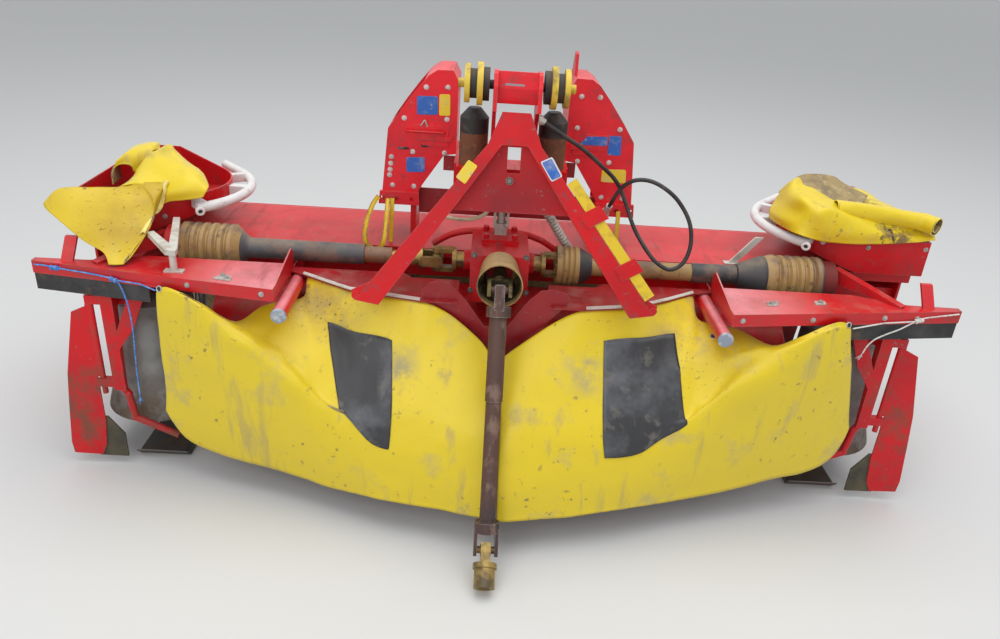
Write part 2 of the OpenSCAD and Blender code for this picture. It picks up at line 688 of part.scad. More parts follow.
module end_frame(s) color(paint) side(s) {
    translate([cone_x, cone_y, 565]) cylinder(h = 65, r = cone_pin_r);
    translate([cone_x - 40, cone_y - 180, shaft_top - seat - 14]) cube([80, 300, 14]);
    plate_x([[-230, 320], [-215, 320], [-195, 626], [-150, 626], [-150, deck_z - sheet_t - seat],
        [-230, deck_z - sheet_t - seat]], 1262, 40);
    plate_y([[1272, 465], [1272, 525], [1165, deck_z - sheet_t - seat],
        [1118, deck_z - sheet_t - seat], [1205, 560]],
        -230, 8);
    for (z = [330, 640]) difference() {
        translate([1302, board_y - 12, z]) cube([board_x + 12 - 1302, 24, 30]);
        translate([board_x, board_y, z - 1]) cylinder(h = 32, r = 9.05);
    }
    for (i = [0 : len(bent_rod) - 2]) rod(bent_rod[i], bent_rod[i + 1], bent_r);
    for (i = [1 : len(bent_rod) - 2]) translate(bent_rod[i]) sphere(r = bent_r + 0.6);
}

module end_frame_left() end_frame(-1);
module end_frame_right() end_frame(1);

// Outline of a swath board, measured from its rod.
board_shape = [[17, 180], [0.2 * board_w, 80], [0.32 * board_w, 42], [board_w - 4, 44], [board_w, 90],
    [0.88 * board_w, 250], [0.78 * board_w, 370], [0.44 * board_w, 604], [17, 628]];

module swath_board(s) color(paint) side(s) {
    translate([board_x, board_y, 300]) cylinder(h = 380, r = 9);
    translate([board_x - 6, board_y - 3, 365]) cube([24, 6, 270]);
    plate_y([for (p = board_shape) [board_x + p.x, p.y]], board_y - 3, sheet_t);
}

module swath_board_left() swath_board(-1);
module swath_board_right() swath_board(1);

module board_flap(s) color("#333322") side(s)
    plate_y([[board_x - 40, 36], [board_x + 60, 36], [board_x + 60, 200], [board_x + 10, 200],
        [board_x - 40, 130]],
        board_y - 3 + sheet_t, 6);

module board_flap_left() board_flap(-1);
module board_flap_right() board_flap(1);

// Side guards, folded in over the hood

tray_y0 = 10;
tray_z = 806;
tray_top = tray_z + rim_h;
tray_c = [1230, 240];
tray_r = 230;
tray_far = [1330, tray_y0 + tray_len];
knuckle_y = [tray_y0 + 90, 420];
knuckle_len = 80;

function arc_points(c, r, a0, a1, n) = [for (i = [0 : n]) let (a = a0 + (a1 - a0) * i / n)
    [c.x + r * cos(a), c.y + r * sin(a)]];

// Plan of a side guard's rim, drawn in by a distance.
function tray_plan(inset) = concat([[hinge_x - 12 - inset, tray_far.y - inset],
    [tray_far.x + 0.4 * inset, tray_far.y - inset]],
    arc_points(tray_c, tray_r - inset, 138, 270, 14), [[hinge_x - 12 - inset, tray_y0 + inset]]);

// Side view of a side guard: its plate rises towards the inboard end.
function tray_profile(inset, top) = [[hinge_x - 12, tray_z + inset], [1229, tray_z + inset],
    [tray_c.x - tray_r - 5, tray_top - 44 + inset], [tray_c.x - tray_r - 5, top], [hinge_x - 12, top]];

module tray_body(inset, top) intersection() {
    plate_z(tray_plan(inset), tray_z, top - tray_z);
    plate_y(tray_profile(inset, top), tray_y0 - 1, tray_len + 2);
}

module tray(s) color(paint) side(s) {
    difference() {
        tray_body(0, tray_top);
        tray_body(sheet_t, tray_top + 10);
    }
    for (y = knuckle_y) translate([hinge_x - 20, y, hinge_z + 4]) cube([18, knuckle_len, 12]);
    rod_y(hinge_x, knuckle_y[0], hinge_z, knuckle_y[1] + knuckle_len - knuckle_y[0], hinge_r);
}

module guard_tray_left() tray(-1);
module guard_tray_right() tray(1);

hoop_z = 904;
hoop_R = tray_r + 66;
hoop_a0 = 138;
hoop_a1 = 231;

// Point of the hoop's arc at an angle.
function hoop_at(a) = [tray_c.x + hoop_R * cos(a), tray_c.y + hoop_R * sin(a), hoop_z];

module hoop(s) color("white") side(s) {
    translate([tray_c.x, tray_c.y, hoop_z]) rotate(hoop_a0) rotate_extrude(angle = hoop_a1 - hoop_a0,
        $fn = 96)
        translate([hoop_R, 0]) circle(r = hoop_r);
    rod(hoop_at(hoop_a0), hoop_at(hoop_a0) + [150 * sin(hoop_a0), -150 * cos(hoop_a0), 0], hoop_r);
    translate(hoop_at(hoop_a0)) sphere(r = hoop_r + 0.6);
    for (a = [hoop_a0 + 8, 180, hoop_a1 - 5]) translate([tray_c.x, tray_c.y, hoop_z - 15]) rotate(a)
        translate([tray_r + seat, -15, 0]) cube([hoop_R - tray_r - 5, 30, 30]);
}

module guard_hoop_left() hoop(-1);
module guard_hoop_right() hoop(1);

// Closed solid from a sheet's columns of points; each point's twin behind it lies back away.
function sheet_points(cols, back) = concat([for (c = cols) each c],
    [for (c = cols) each [for (p = c) p + back]]);

function quad(a, b, c, d) = [[a, b, c], [a, c, d]];

// Faces for n columns of m points; the columns run to +X and their points downwards.
function sheet_faces(n, m) = let (k = n * m) concat(
    [for (i = [0 : n - 2]) for (j = [0 : m - 2]) let (a = i * m + j)
        each concat(quad(a, a + m, a + m + 1, a + 1), quad(k + a, k + a + 1, k + a + m + 1, k + a + m))],
    [for (i = [0 : n - 2]) let (a = i * m, b = a + m - 1)
        each concat(quad(a, k + a, k + a + m, a + m), quad(b, b + m, k + b + m, k + b))],
    [for (j = [0 : m - 2]) let (b = (n - 1) * m + j)
        each concat(quad(j, j + 1, k + j + 1, k + j), quad(b, k + b, k + b + 1, b + 1))]);

module sheet_solid(cols, back) polyhedron(sheet_points(cols, back), sheet_faces(len(cols), len(cols[0])));

// Left guard's cloth that hangs down to the deck, as columns from the left: top point first.
left_flap = [
    [[-1486, -110, 930], [-1476, -118, 908], [-1444, -142, 888], [-1374, -178, 852],
     [-1290, -208, 828], [-1262, -236, 792]],
    [[-1440, -92, 978], [-1420, -112, 936], [-1390, -140, 896], [-1330, -178, 862],
     [-1272, -204, 832], [-1252, -238, 788]],
    [[-1355, -44, 972], [-1325, -88, 938], [-1280, -122, 902], [-1250, -164, 866], [-1240, -198, 830],
     [-1234, -236, 787]],
    [[-1290, -4, 966], [-1240, -62, 934], [-1196, -96, 906], [-1192, -146, 866], [-1206, -190, 828],
     [-1220, -233, 786]],
    [[-1222, 2, 980], [-1176, -48, 936], [-1158, -84, 900], [-1150, -130, 866], [-1180, -176, 826],
     [-1206, -229, 785]]];
// Outer side of the fold at that cloth's right edge.
left_fold = [
    [[-1218, 8, 978], [-1172, -40, 934], [-1154, -76, 899], [-1147, -122, 866], [-1178, -168, 828]],
    [[-1142, 8, 984], [-1140, -14, 958], [-1146, -30, 930], [-1140, -96, 874], [-1172, -158, 834]]];
cloth_back = [0, 5, -4];
fold_back = [-5, 5, -2];

// Layer of cloth over a side guard's rim, as the foot of its heap.
module heap_foot() plate_z(tray_plan(6), tray_top + seat, 8);

module guard_cloth_left() color(cloth) {
    sheet_solid(left_flap, cloth_back);
    sheet_solid(left_fold, fold_back);
    hull() {
        side(-1) heap_foot();
        translate([-1320, -4, 946]) cube([240, 10, 12]);
        translate([-1250, 130, 1046]) cube([20, 60, 10]);
        translate([-1178, 120, 1068]) cube([26, 60, 10]);
        translate([-1044, 20, tray_top + 20]) cube([30, 90, 16]);
    }
}

roll_r = 30;
roll_p = [1130, 64, 1012];
roll_q = [1462, 40, 972];

module guard_cloth_right() color(cloth) {
    hull() {
        heap_foot();
        translate([972, 200, 940]) cube([20, 60, 20]);
        translate([1000, 130, 1040]) cube([20, 90, 20]);
        translate([1070, 190, 1074]) cube([60, 70, 10]);
    }
    rod(roll_p, roll_q, roll_r);
}

// Rear curtains, as columns from the left to the right: top point first, hem point last.
curtain_left_cols = [
    [[-1080, -300, 742], [-1084, -302, 729], [-1086, -303, 712], [-1088, -304, 664],
        [-1096, -298, 543], [-1100, -288, 406], [-1118, -272, 278]],
    [[-1049, -306, 753], [-1045, -310, 745], [-1042, -314, 734], [-1043, -320, 654],
        [-1046, -312, 517], [-1056, -298, 338], [-1060, -280, 177]],
    [[-1000, -314, 739], [-991, -321, 733], [-983, -328, 723], [-977, -338, 642],
        [-970, -335, 479], [-966, -322, 300], [-968, -302, 140]],
    [[-930, -324, 706], [-921, -333, 698], [-912, -342, 690], [-899, -356, 617],
        [-880, -360, 469], [-858, -352, 298], [-847, -335, 129]],
    [[-848, -290, 640], [-835, -315, 643], [-823, -335, 639], [-796, -375, 602],
        [-772, -388, 456], [-745, -385, 296], [-720, -372, 123]],
    [[-784, -215, 662], [-767, -265, 636], [-749, -320, 601], [-707, -390, 541],
        [-675, -408, 414], [-647, -410, 264], [-620, -400, 113]],
    [[-716, -182, 670], [-697, -245, 629], [-668, -345, 540], [-632, -405, 489],
        [-606, -428, 379], [-578, -434, 242], [-540, -428, 110]],
    [[-662, -148, 674], [-652, -246, 612], [-620, -368, 500], [-595, -414, 455],
        [-572, -436, 362], [-543, -445, 232], [-505, -440, 111]],
    [[-650, -118, 734.7], [-612, -262, 588], [-566, -395, 450], [-552, -422, 430],
        [-531, -445, 349], [-507, -455, 222], [-471, -452, 112]],
    [[-586, -161, 734.7], [-546, -275, 582], [-494, -410, 423], [-482, -432, 400],
        [-463, -460, 325], [-440, -475, 229], [-415, -477, 119]],
    [[-502, -212, 734.7], [-468, -302, 582], [-419, -425, 418], [-402, -460, 359],
        [-387, -482, 288], [-370, -495, 208], [-350, -500, 125]],
    [[-385, -241, 734.7], [-360, -318, 596], [-330, -432, 446], [-313, -468, 378],
        [-297, -495, 302], [-279, -512, 219], [-261, -520, 126]],
    [[-268, -268, 734.7], [-247, -338, 596], [-223, -440, 458], [-209, -480, 384],
        [-195, -508, 306], [-182, -528, 217], [-169, -540, 128]],
    [[-175, -274, 699], [-156, -357, 583], [-135, -450, 458], [-124, -495, 385],
        [-110, -524, 308], [-96, -547, 218], [-82, -560, 129]],
    [[-78, -310, 636], [-65, -385, 544], [-52, -465, 447], [-42, -510, 377],
        [-31, -540, 301], [-20, -565, 221], [-12, -578, 133]],
    [[-40, -330, 598], [-32, -398, 517], [-24, -472, 435], [-18, -516, 368],
        [-12, -545, 299], [-6, -570, 218], [-2, -583, 130]]];
curtain_right_cols = [
    [[3, -326, 577], [4, -394, 506], [5, -466, 433], [6, -510, 365],
        [7, -540, 296], [9, -566, 215], [12, -578, 126]],
    [[58, -312, 620], [58, -386, 541], [56, -464, 457], [57, -510, 383],
        [56, -540, 306], [55, -566, 226], [55, -578, 128]],
    [[170, -274, 691], [170, -357, 588], [166, -448, 468], [163, -495, 394],
        [159, -524, 316], [156, -548, 233], [151, -560, 127]],
    [[260, -268, 734.7], [263, -342, 599], [258, -438, 467], [252, -485, 393],
        [249, -512, 312], [243, -532, 226], [237, -542, 125]],
    [[375, -242, 734.7], [379, -320, 595], [368, -428, 459], [362, -475, 385],
        [356, -500, 302], [348, -516, 219], [339, -522, 131]],
    [[472, -205, 734.7], [472, -305, 593], [460, -418, 458], [454, -462, 381],
        [445, -486, 297], [435, -500, 212], [422, -502, 135]],
    [[548, -158, 734.7], [542, -282, 596], [530, -405, 454], [522, -440, 401],
        [514, -466, 318], [506, -478, 223], [496, -478, 132]],
    [[638, -97, 734.7], [620, -262, 608], [610, -395, 453], [599, -425, 426],
        [589, -446, 339], [577, -456, 235], [565, -452, 128]],
    [[660, -150, 672], [656, -262, 612], [650, -380, 490], [640, -414, 462],
        [632, -436, 370], [622, -444, 256], [613, -438, 129]],
    [[716, -182, 668], [706, -268, 629], [696, -368, 522], [680, -405, 501],
        [674, -425, 400], [668, -430, 277], [662, -422, 130]],
    [[783, -215, 672], [776, -275, 650], [773, -335, 606], [754, -392, 557],
        [753, -406, 438], [753, -406, 300], [753, -394, 134]],
    [[873, -290, 657], [860, -320, 661], [850, -350, 648], [843, -384, 587],
        [848, -388, 462], [857, -382, 318], [865, -366, 149]],
    [[944, -320, 706], [939, -335, 700], [934, -350, 689], [939, -364, 618],
        [955, -362, 479], [971, -350, 334], [988, -330, 163]],
    [[1010, -312, 741], [1007, -322, 732], [1003, -332, 720], [1014, -340, 652],
        [1044, -336, 506], [1072, -322, 353], [1101, -300, 177]],
    [[1069, -304, 759], [1069, -308, 750], [1071, -314, 736], [1087, -318, 667],
        [1122, -312, 535], [1156, -300, 392], [1185, -280, 239]],
    [[1108, -296, 743], [1109, -298, 737], [1112, -300, 724], [1124, -300, 678],
        [1149, -296, 584], [1180, -288, 465], [1214, -272, 344]]];
curtain_back = [0, 6, -4];

module curtain_left() color(cloth) sheet_solid(curtain_left_cols, curtain_back);
module curtain_right() color(cloth) sheet_solid(curtain_right_cols, curtain_back);

front_hinge_y = hood_front_y + 14;
front_hinge_z = 690;
front_bar_r = 17;
front_bar_y = front_hinge_y + front_reach - 18;
front_bar_z = front_hinge_z - 82.5;

module front_guard() color(paint) {
    rod_x(-front_eye_x - 17, front_hinge_y, front_hinge_z, 2 * front_eye_x + 34, hinge_r);
    for (s = [-1, 1]) side(s)
        plate_x([[front_hinge_y - 4, front_hinge_z - 12], [front_hinge_y + 6, front_hinge_z + 10],
            [front_bar_y + 8, front_bar_z + 12.5], [front_bar_y - 6, front_bar_z - 11.5]],
            front_eye_x - 9, 6);
    rod_x(-front_eye_x - 11, front_bar_y, front_bar_z, 2 * front_eye_x + 22, front_bar_r);
}

module front_cloth() color(cloth)
    plate_x([[front_hinge_y + 2, front_hinge_z - 8.5], [front_hinge_y + 6, front_hinge_z - 8.5],
        [front_bar_y - 12, front_bar_z - front_bar_r - 0.5],
        [front_bar_y + 14, front_bar_z - front_bar_r - 3],
        [front_bar_y + 16, 130], [front_bar_y + 10, 130], [front_bar_y + 8,
        front_bar_z - front_bar_r - 8.5],
        [front_bar_y - 16, front_bar_z - front_bar_r - 6.5]], -front_eye_x + 19, 2 * front_eye_x - 38);

// Front shaft, lying on the ground

upper_joint = [gear_x, -352, input_z];
pin_r = 11;
ear_in = 27;
ear_out = 38;
yoke_len = 116;
yoke_r = 32;
ground_gap = 0.3;
shaft_drop = input_z - yoke_len * cos(yoke_tilt) - yoke_r * sin(yoke_tilt) - ground_gap;
shaft_len = norm([shaft_reach, shaft_drop]);
shaft_tilt = atan2(shaft_reach, shaft_drop);

// Turns a child that stands on +Z at the upper joint so that it hangs back and down by the given angle.
module hanging(tilt) rotate([tilt, 0, 180]) rotate([180, 0, 0]) children();

module along_shaft() translate(upper_joint) hanging(shaft_tilt) children();

// The cross of a joint: a pin along X, one across it, and the hub between them.
module cross_piece() {
    rod_x(-ear_out, 0, 0, 2 * ear_out, pin_r);
    rod_y(0, -ear_out, 0, 2 * ear_out, pin_r);
    cylinder(h = 34, r = 17, center = true);
}

module cross_ears(reach) for (s = [-1, 1])
    translate([-15, s > 0 ? ear_in - 3 : -ear_out, -14]) cube([30, ear_out - ear_in + 3, reach + 14]);

module front_shaft_upper() color(dark) along_shaft() {
    cross_piece();
    cross_ears(62);
    translate([0, 0, 50]) cylinder(h = 32, r = ear_out);
    difference() {
        translate([0, 0, 80]) cylinder(h = 260, r = 27);
        translate([0, 0, 90]) cylinder(h = 260, r = 24.05);
    }
}

module front_shaft_lower() color("sienna") along_shaft() difference() {
    union() {
        translate([0, 0, 100]) cylinder(h = shaft_len - 100 - 70, r = 24);
        translate([0, 0, shaft_len - 90]) cylinder(h = 34, r = ear_out);
        for (s = [-1, 1]) translate([s > 0 ? ear_in : -ear_out, -16, shaft_len - 70])
            cube([ear_out - ear_in, 32, 86]);
    }
    rod_x(-ear_out - 1, 0, shaft_len, 2 * ear_out + 2, pin_r + 0.05);
}

module free_yoke() color("goldenrod") along_shaft() translate([0, 0, shaft_len])
    rotate([yoke_tilt - shaft_tilt, 0, 0]) {
        cross_piece();
        cross_ears(46);
        difference() {
            union() {
                translate([0, 0, 42]) cylinder(h = 16, r = ear_out - 1);
                translate([0, 0, 42]) cylinder(h = yoke_len - 42, r = yoke_r);
            }
            translate([0, 0, 60]) cylinder(h = yoke_len, r = spline_r);
        }
    }

bar_gap = 2.5;

module yellow_bar() color("gold") in_triangle()
    plate_y([[leg_edge(400) + bar_gap, 400], [leg_edge(400) + bar_gap + 26, 420],
        [leg_edge(62) + bar_gap + 32, 78],
        [leg_edge(56) + bar_gap, 56]], 0, 6);

// Fittings and cords

strip_w = 18;

// Clamp strip along an edge of the middle sheet.
module clamp_strip(edge) plate_z(concat(edge, [for (i = [len(edge) - 1 : -1 : 0]) edge[i] + [0, strip_w]]),
    wing_z + sheet_t + seat, 3);

rest_foot = [-1042, -246, deck_z + seat];
rest_fork = [rest_foot.x, rest_foot.y, 850];
rest_shape = [[-16, -16], [-106, 87], [-92, 101], [-19, 32], [-70, 215], [-50, 221], [16, 4], [16, -16]];
strap_foot = [818, 100, deck_z + seat];
strap_head = [902, 100, 884];

// Tube fork on the left deck, under the guard's hoop, and a flat strap on the hood at the right.
module guard_rests() {
    translate(rest_foot - [30, 12, 0]) cube([60, 26, 5]);
    rod(rest_foot + [0, 0, 2], rest_fork, 11);
    translate(rest_fork) rotate([5, 4.5, 0]) plate_z(rest_shape, -9, 18);
    translate(strap_foot - [26, 14, 0]) cube([52, 28, 4]);
    plate_y([[strap_foot.x - 12, strap_foot.z + 1], [strap_foot.x + 16, strap_foot.z + 1],
        [strap_head.x + 14, strap_head.z], [strap_head.x - 14, strap_head.z]], strap_foot.y - 4, 8);
}

hose_r = 7;
twine_r = 2.5;

// Hand-chosen points of the hydraulic hose, from the top bracket to the right tower's flange.
hose_path = [[92, -100, 1284], [131, -100, 1260], [178, -84, 1230], [226, -60, 1197], [301, 0, 1130],
    [354, 34, 1078],
    [390, 38, 1020], [430, 0, 930], [474, -46, 868], [514, -68, 830], [560, -76, 813],
    [602, -68, 840], [620, -50, 900],
    [606, -34, 972], [560, -20, 1038], [505, -10, 1078], [455, 0, 1094], [408, 12, 1086], [374, 32, 1050],
    [356, 54, 1000], [352, 80, 975]];
hose_plug = [346, tower_y - flange_t - seat, 934];

// Twine on the left rail, knotted there, with its tail hanging down.
twine_left_path = [[-1490, -222.5, 768], [-1455, -227.9, 769], [-1419, -233.5, 766], [-1370, -241.2, 763],
    [-1322, -248.6, 761], [-1270, -256.8, 757], [-1228, -265, 751], [-1210, -268, 736], [-1198, -270, 700],
    [-1190, -271, 650], [-1188, -271, 580], [-1192, -270, 510], [-1197, -268, 440], [-1200, -266, 380],
    [-1201, -265, 330]];

// Twine on the right rail, with its loose end.
twine_right_path = [[1490, -222.5, 772], [1450, -228.7, 768], [1410, -235, 764], [1370, -241.2, 759],
    [1330, -250, 744], [1290, -257, 722], [1250, -261, 704], [1215, -264, 684], [1196, -266, 660],
    [1187, -267, 634]];

// Point between b and c on the smooth curve through a, b, c and d.
function curve_at(a, b, c, d, t) = 0.5 * (2 * b + (c - a) * t + (2 * a - 5 * b + 4 * c - d) * t * t
    + (3 * b - a - 3 * c + d) * t * t * t);

function smooth(path, steps) = let (n = len(path)) concat([for (i = [0 : n - 2]) for (k = [0 : steps - 1])
    curve_at(path[max(i - 1, 0)], path[i], path[i + 1], path[min(i + 2, n - 1)], k / steps)],
        [path[n - 1]]);

function unit(v) = v / norm(v);

// Ring of points round p, square to the direction t.
function ring(p, t, r, sides) = let (u = unit(cross(t, [0, 1, 0])), v = cross(unit(t), u))
    [for (k = [0 : sides - 1]) p + r * (cos(360 * k / sides) * u + sin(360 * k / sides) * v)];

module cord_solid(path, r, sides) {
    n = len(path);
    points = [for (i = [0 : n - 1]) each ring(path[i], path[min(i + 1, n - 1)] - path[max(i - 1, 0)],
        r, sides)];
    faces = concat([for (k = [1 : sides - 2]) [0, k, k + 1]],
        [for (i = [0 : n - 2]) for (k = [0 : sides - 1]) let (a = i * sides + k,
        b = i * sides + (k + 1) % sides)
            each quad(a, a + sides, b + sides, b)],
        [for (k = [1 : sides - 2]) [(n - 1) * sides, (n - 1) * sides + k + 1, (n - 1) * sides + k]]);
    polyhedron(points, faces);
}

module zinc_fittings() color(steel) {
    side(-1) clamp_strip(wing_edge_left);
    side(1) clamp_strip(wing_edge_right);
    guard_rests();
    hose_end = hose_path[len(hose_path) - 1];
    rod(hose_end + 2 * seat * unit(hose_plug - hose_end), hose_plug - [0, 12, 0], 11);
    rod_y(hose_plug.x, hose_plug.y - 16, hose_plug.z, 16, 15);
    gland = hose_path[0] + 14 * unit(hose_path[0] - hose_path[1]);
    rod(gland, hose_path[0] + 2 * seat * unit(gland - hose_path[0]), 10);
    rod_x(cheek_x + cheek_t / 2 + seat, gland.y, gland.z, 12, 15);
}

module hydraulic_hose() color("#1a1a1a") cord_solid(smooth(hose_path, 2), hose_r, 10);
module twine_left() color("royalblue") cord_solid(smooth(twine_left_path, 1), twine_r, 8);
module twine_right() color("whitesmoke") cord_solid(smooth(twine_right_path, 1), twine_r, 8);

a_frame();
top_bracket();
headstock_beam();
tower_left();
tower_right();
spring_cans();
rollers();
center_gearbox();
input_cone();
center_link();
mower_frame();
hood();
deck_left();
deck_right();
rail_strips();
center_sheet();
cross_shaft_left();
cross_shaft_right();
shaft_guard_left();
shaft_guard_right();
end_gearbox_left();
end_gearbox_right();
side_plate_left();
side_plate_right();
cutter_bar();
disc_1();
disc_2();
disc_3();
disc_4();
disc_5();
disc_6();
disc_7();
conditioner_rotor();
conditioner_hood();
swath_cone_left();
swath_cone_right();
end_frame_left();
end_frame_right();
swath_board_left();
swath_board_right();
board_flap_left();
board_flap_right();
guard_tray_left();
guard_tray_right();
guard_hoop_left();
guard_hoop_right();
guard_cloth_left();
guard_cloth_right();
curtain_left();
curtain_right();
front_guard();
front_cloth();
front_shaft_upper();
front_shaft_lower();
free_yoke();
yellow_bar();
zinc_fittings();
hydraulic_hose();
twine_left();
twine_right();
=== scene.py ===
# %% [markdown]
# # A front disc mower conditioner
# The machine stands parked on its skids, seen from the tractor's side. Its hard parts come
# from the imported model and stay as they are. This lesson gives them their finishes and adds
# what a solid model can't show well: cloth, cords, bolts, labels and dirt. All pieces are in
# metres, in the model's own frame, so nothing has to be fitted by eye.

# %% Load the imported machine
import math

import bpy
import numpy as np
from mathutils import Matrix, Vector, noise


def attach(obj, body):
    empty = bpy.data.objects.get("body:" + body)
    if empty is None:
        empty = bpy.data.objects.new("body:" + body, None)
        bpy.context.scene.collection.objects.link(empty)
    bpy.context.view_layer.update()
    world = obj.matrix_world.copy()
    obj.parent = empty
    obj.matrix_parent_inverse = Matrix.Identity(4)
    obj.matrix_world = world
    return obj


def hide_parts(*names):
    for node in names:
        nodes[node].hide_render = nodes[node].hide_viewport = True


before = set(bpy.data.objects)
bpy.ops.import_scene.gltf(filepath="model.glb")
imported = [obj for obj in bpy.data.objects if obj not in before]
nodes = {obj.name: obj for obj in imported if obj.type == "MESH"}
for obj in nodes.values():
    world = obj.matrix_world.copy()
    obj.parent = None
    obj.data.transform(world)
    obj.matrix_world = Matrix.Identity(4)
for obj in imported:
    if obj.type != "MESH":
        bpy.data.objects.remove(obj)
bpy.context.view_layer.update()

# %% [markdown]
# ## The camera
# The photographer stood between the tractor and the machine, held the camera at eye height and
# looked down by about 26 degrees, with the picture tilted by 4 degrees. The position and the
# lens were solved from mirrored points of the machine. A Track To constraint could aim the
# camera too, but three angles keep the tilt exact.

# %% Camera
CAMERA_AT = Vector((-0.09, -2.574, 1.814))
YAW, PITCH, ROLL = math.radians(-1.98), math.radians(26.07), math.radians(3.97)

ahead = Vector((-math.sin(YAW) * math.cos(PITCH), math.cos(YAW) * math.cos(PITCH), -math.sin(PITCH)))
level = Vector((math.cos(YAW), math.sin(YAW), 0))
above = level.cross(ahead)
right = level * math.cos(ROLL) + above * math.sin(ROLL)
up = above * math.cos(ROLL) - level * math.sin(ROLL)

lens = bpy.data.cameras.new("photo_lens")
lens.lens = 28.8
lens.sensor_width = 36.0
lens.clip_end = 400
camera = bpy.data.objects.new("photo_camera", lens)
bpy.context.scene.collection.objects.link(camera)
camera.matrix_world = Matrix((
    (right.x, up.x, -ahead.x, CAMERA_AT.x),
    (right.y, up.y, -ahead.y, CAMERA_AT.y),
    (right.z, up.z, -ahead.z, CAMERA_AT.z),
    (0, 0, 0, 1)))
bpy.context.scene.camera = camera
bpy.context.scene.view_settings.view_transform = "Standard"
print("camera", [round(c, 3) for c in camera.location])

# %% [markdown]
# ## Light and floor
# The day was overcast: a bright, even sky with no hard shadows. A plain world colour gives the
# even part. Two large area lamps, one above and one behind the camera, give tops more light
# than sides, as a grey sky does.
# The Light Path node shows the camera and the reflections a pale studio instead of the light's
# own grey, so metal has something bright to mirror and the picture stays neutral.

# %% World
world = bpy.data.worlds.new("pale_studio")
bpy.context.scene.world = world
world.use_nodes = True
sky = world.node_tree
sky_light = sky.nodes["Background"]
sky_light.inputs["Color"].default_value = (0.93, 0.96, 1.0, 1)
sky_light.inputs["Strength"].default_value = 0.56
sky_seen = sky.nodes.new("ShaderNodeBackground")
sky_seen.inputs["Color"].default_value = (0.86, 0.87, 0.88, 1)
sky_mix = sky.nodes.new("ShaderNodeMixShader")
path = sky.nodes.new("ShaderNodeLightPath")
direct = sky.nodes.new("ShaderNodeMath")
direct.operation = "MAXIMUM"
sky.links.new(path.outputs["Is Camera Ray"], direct.inputs[0])
sky.links.new(path.outputs["Is Glossy Ray"], direct.inputs[1])
sky.links.new(direct.outputs[0], sky_mix.inputs["Fac"])
sky.links.new(sky_light.outputs[0], sky_mix.inputs[1])
sky.links.new(sky_seen.outputs[0], sky_mix.inputs[2])
sky.links.new(sky_mix.outputs[0], sky.nodes["World Output"].inputs["Surface"])


# %% Lamps
def soft_lamp(name, at, aim, size, watts):
    """A square area lamp at one point that faces another."""
    data = bpy.data.lights.new(name, "AREA")
    data.size = size
    data.energy = watts
    lamp = bpy.data.objects.new(name, data)
    lamp.location = at
    lamp.rotation_euler = (Vector(aim) - Vector(at)).to_track_quat("-Z", "Y").to_euler()
    bpy.context.scene.collection.objects.link(lamp)


soft_lamp("sky_above", (0.5, 0.0, 6.5), (0, 0, 0), 7.0, 300)
soft_lamp("sky_behind_camera", (-2.5, -6.0, 4.5), (0, 0, 0.5), 5.0, 135)

# %% Floor
FLOOR_HALF = 150.0
floor_mesh = bpy.data.meshes.new("floor")
floor_mesh.from_pydata([(x * FLOOR_HALF, y * FLOOR_HALF, -0.001) for x, y in ((-1, -1), (1, -1), (1, 1), (-1, 1))],
                       [], [(0, 1, 2, 3)])
floor = bpy.data.objects.new("floor", floor_mesh)
bpy.context.scene.collection.objects.link(floor)
floor_finish = bpy.data.materials.new("pale_floor")
floor_finish.use_nodes = True
floor_shader = floor_finish.node_tree.nodes["Principled BSDF"]
floor_shader.inputs["Base Color"].default_value = (0.7, 0.7, 0.69, 1)
floor_shader.inputs["Roughness"].default_value = 0.9
floor_mesh.materials.append(floor_finish)

# %% [markdown]
# ## How a finish is made
# Every surface of a used farm machine is a stack: a base, then fading, dust, mud, grease,
# scratches down to primer and rust at the edges. Each could be painted by hand, but a picture
# would be needed for it. Here a finish is a base plus layers, and each layer has a mask that is
# the product of simple fields: noise, how far the surface faces up, how near it is to an edge,
# or its place along an axis. The same builder then makes paint, steel, rubber and cloth.

# %% Nodes
def feed(tree, socket, value):
    """Link a socket to another one, or give it a value."""
    if isinstance(value, bpy.types.NodeSocket):
        tree.links.new(value, socket)
    else:
        socket.default_value = value


def add_node(tree, kind, inputs, **settings):
    """A shader node whose inputs are fed with sockets or values."""
    node = tree.nodes.new("ShaderNode" + kind)
    for key, value in settings.items():
        setattr(node, key, value)
    for key, value in inputs.items():
        feed(tree, node.inputs[key], value)
    return node


# %% Mask fields
EDGE_FLAT, EDGE_ROUND = 0.985, 0.85


def field(tree, coords, spec):
    """One mask field, from 0 to 1, for a spec such as ("noise", scale, low, high, stretch)."""
    kind = spec[0]
    low, high = {"noise": spec[2:4], "edge": (EDGE_FLAT, EDGE_ROUND)}.get(kind, spec[1:3])
    if kind == "noise":
        place = add_node(tree, "Mapping", {"Vector": coords, "Scale": spec[4] if len(spec) > 4 else (1, 1, 1),
                                           "Location": (spec[1], low * 7, high * 3)})
        source = add_node(tree, "TexNoise", {"Vector": place.outputs[0], "Scale": spec[1], "Detail": 5,
                                             "Roughness": 0.62}).outputs["Fac"]
    elif kind == "edge":
        rounded = add_node(tree, "Bevel", {"Radius": spec[1]}, samples=4).outputs[0]
        plain = add_node(tree, "NewGeometry", {}).outputs["Normal"]
        source = add_node(tree, "VectorMath", {0: rounded, 1: plain}, operation="DOT_PRODUCT").outputs["Value"]
    elif kind == "up":
        normal = add_node(tree, "NewGeometry", {}).outputs["Normal"]
        source = add_node(tree, "SeparateXYZ", {0: normal}).outputs["Z"]
    else:
        source = add_node(tree, "SeparateXYZ", {0: coords}).outputs[kind.upper()]
        if len(spec) > 3:
            source = add_node(tree, "Math", {0: source}, operation="ABSOLUTE").outputs[0]
    return add_node(tree, "MapRange", {"Value": source, "From Min": low, "From Max": high}).outputs["Result"]


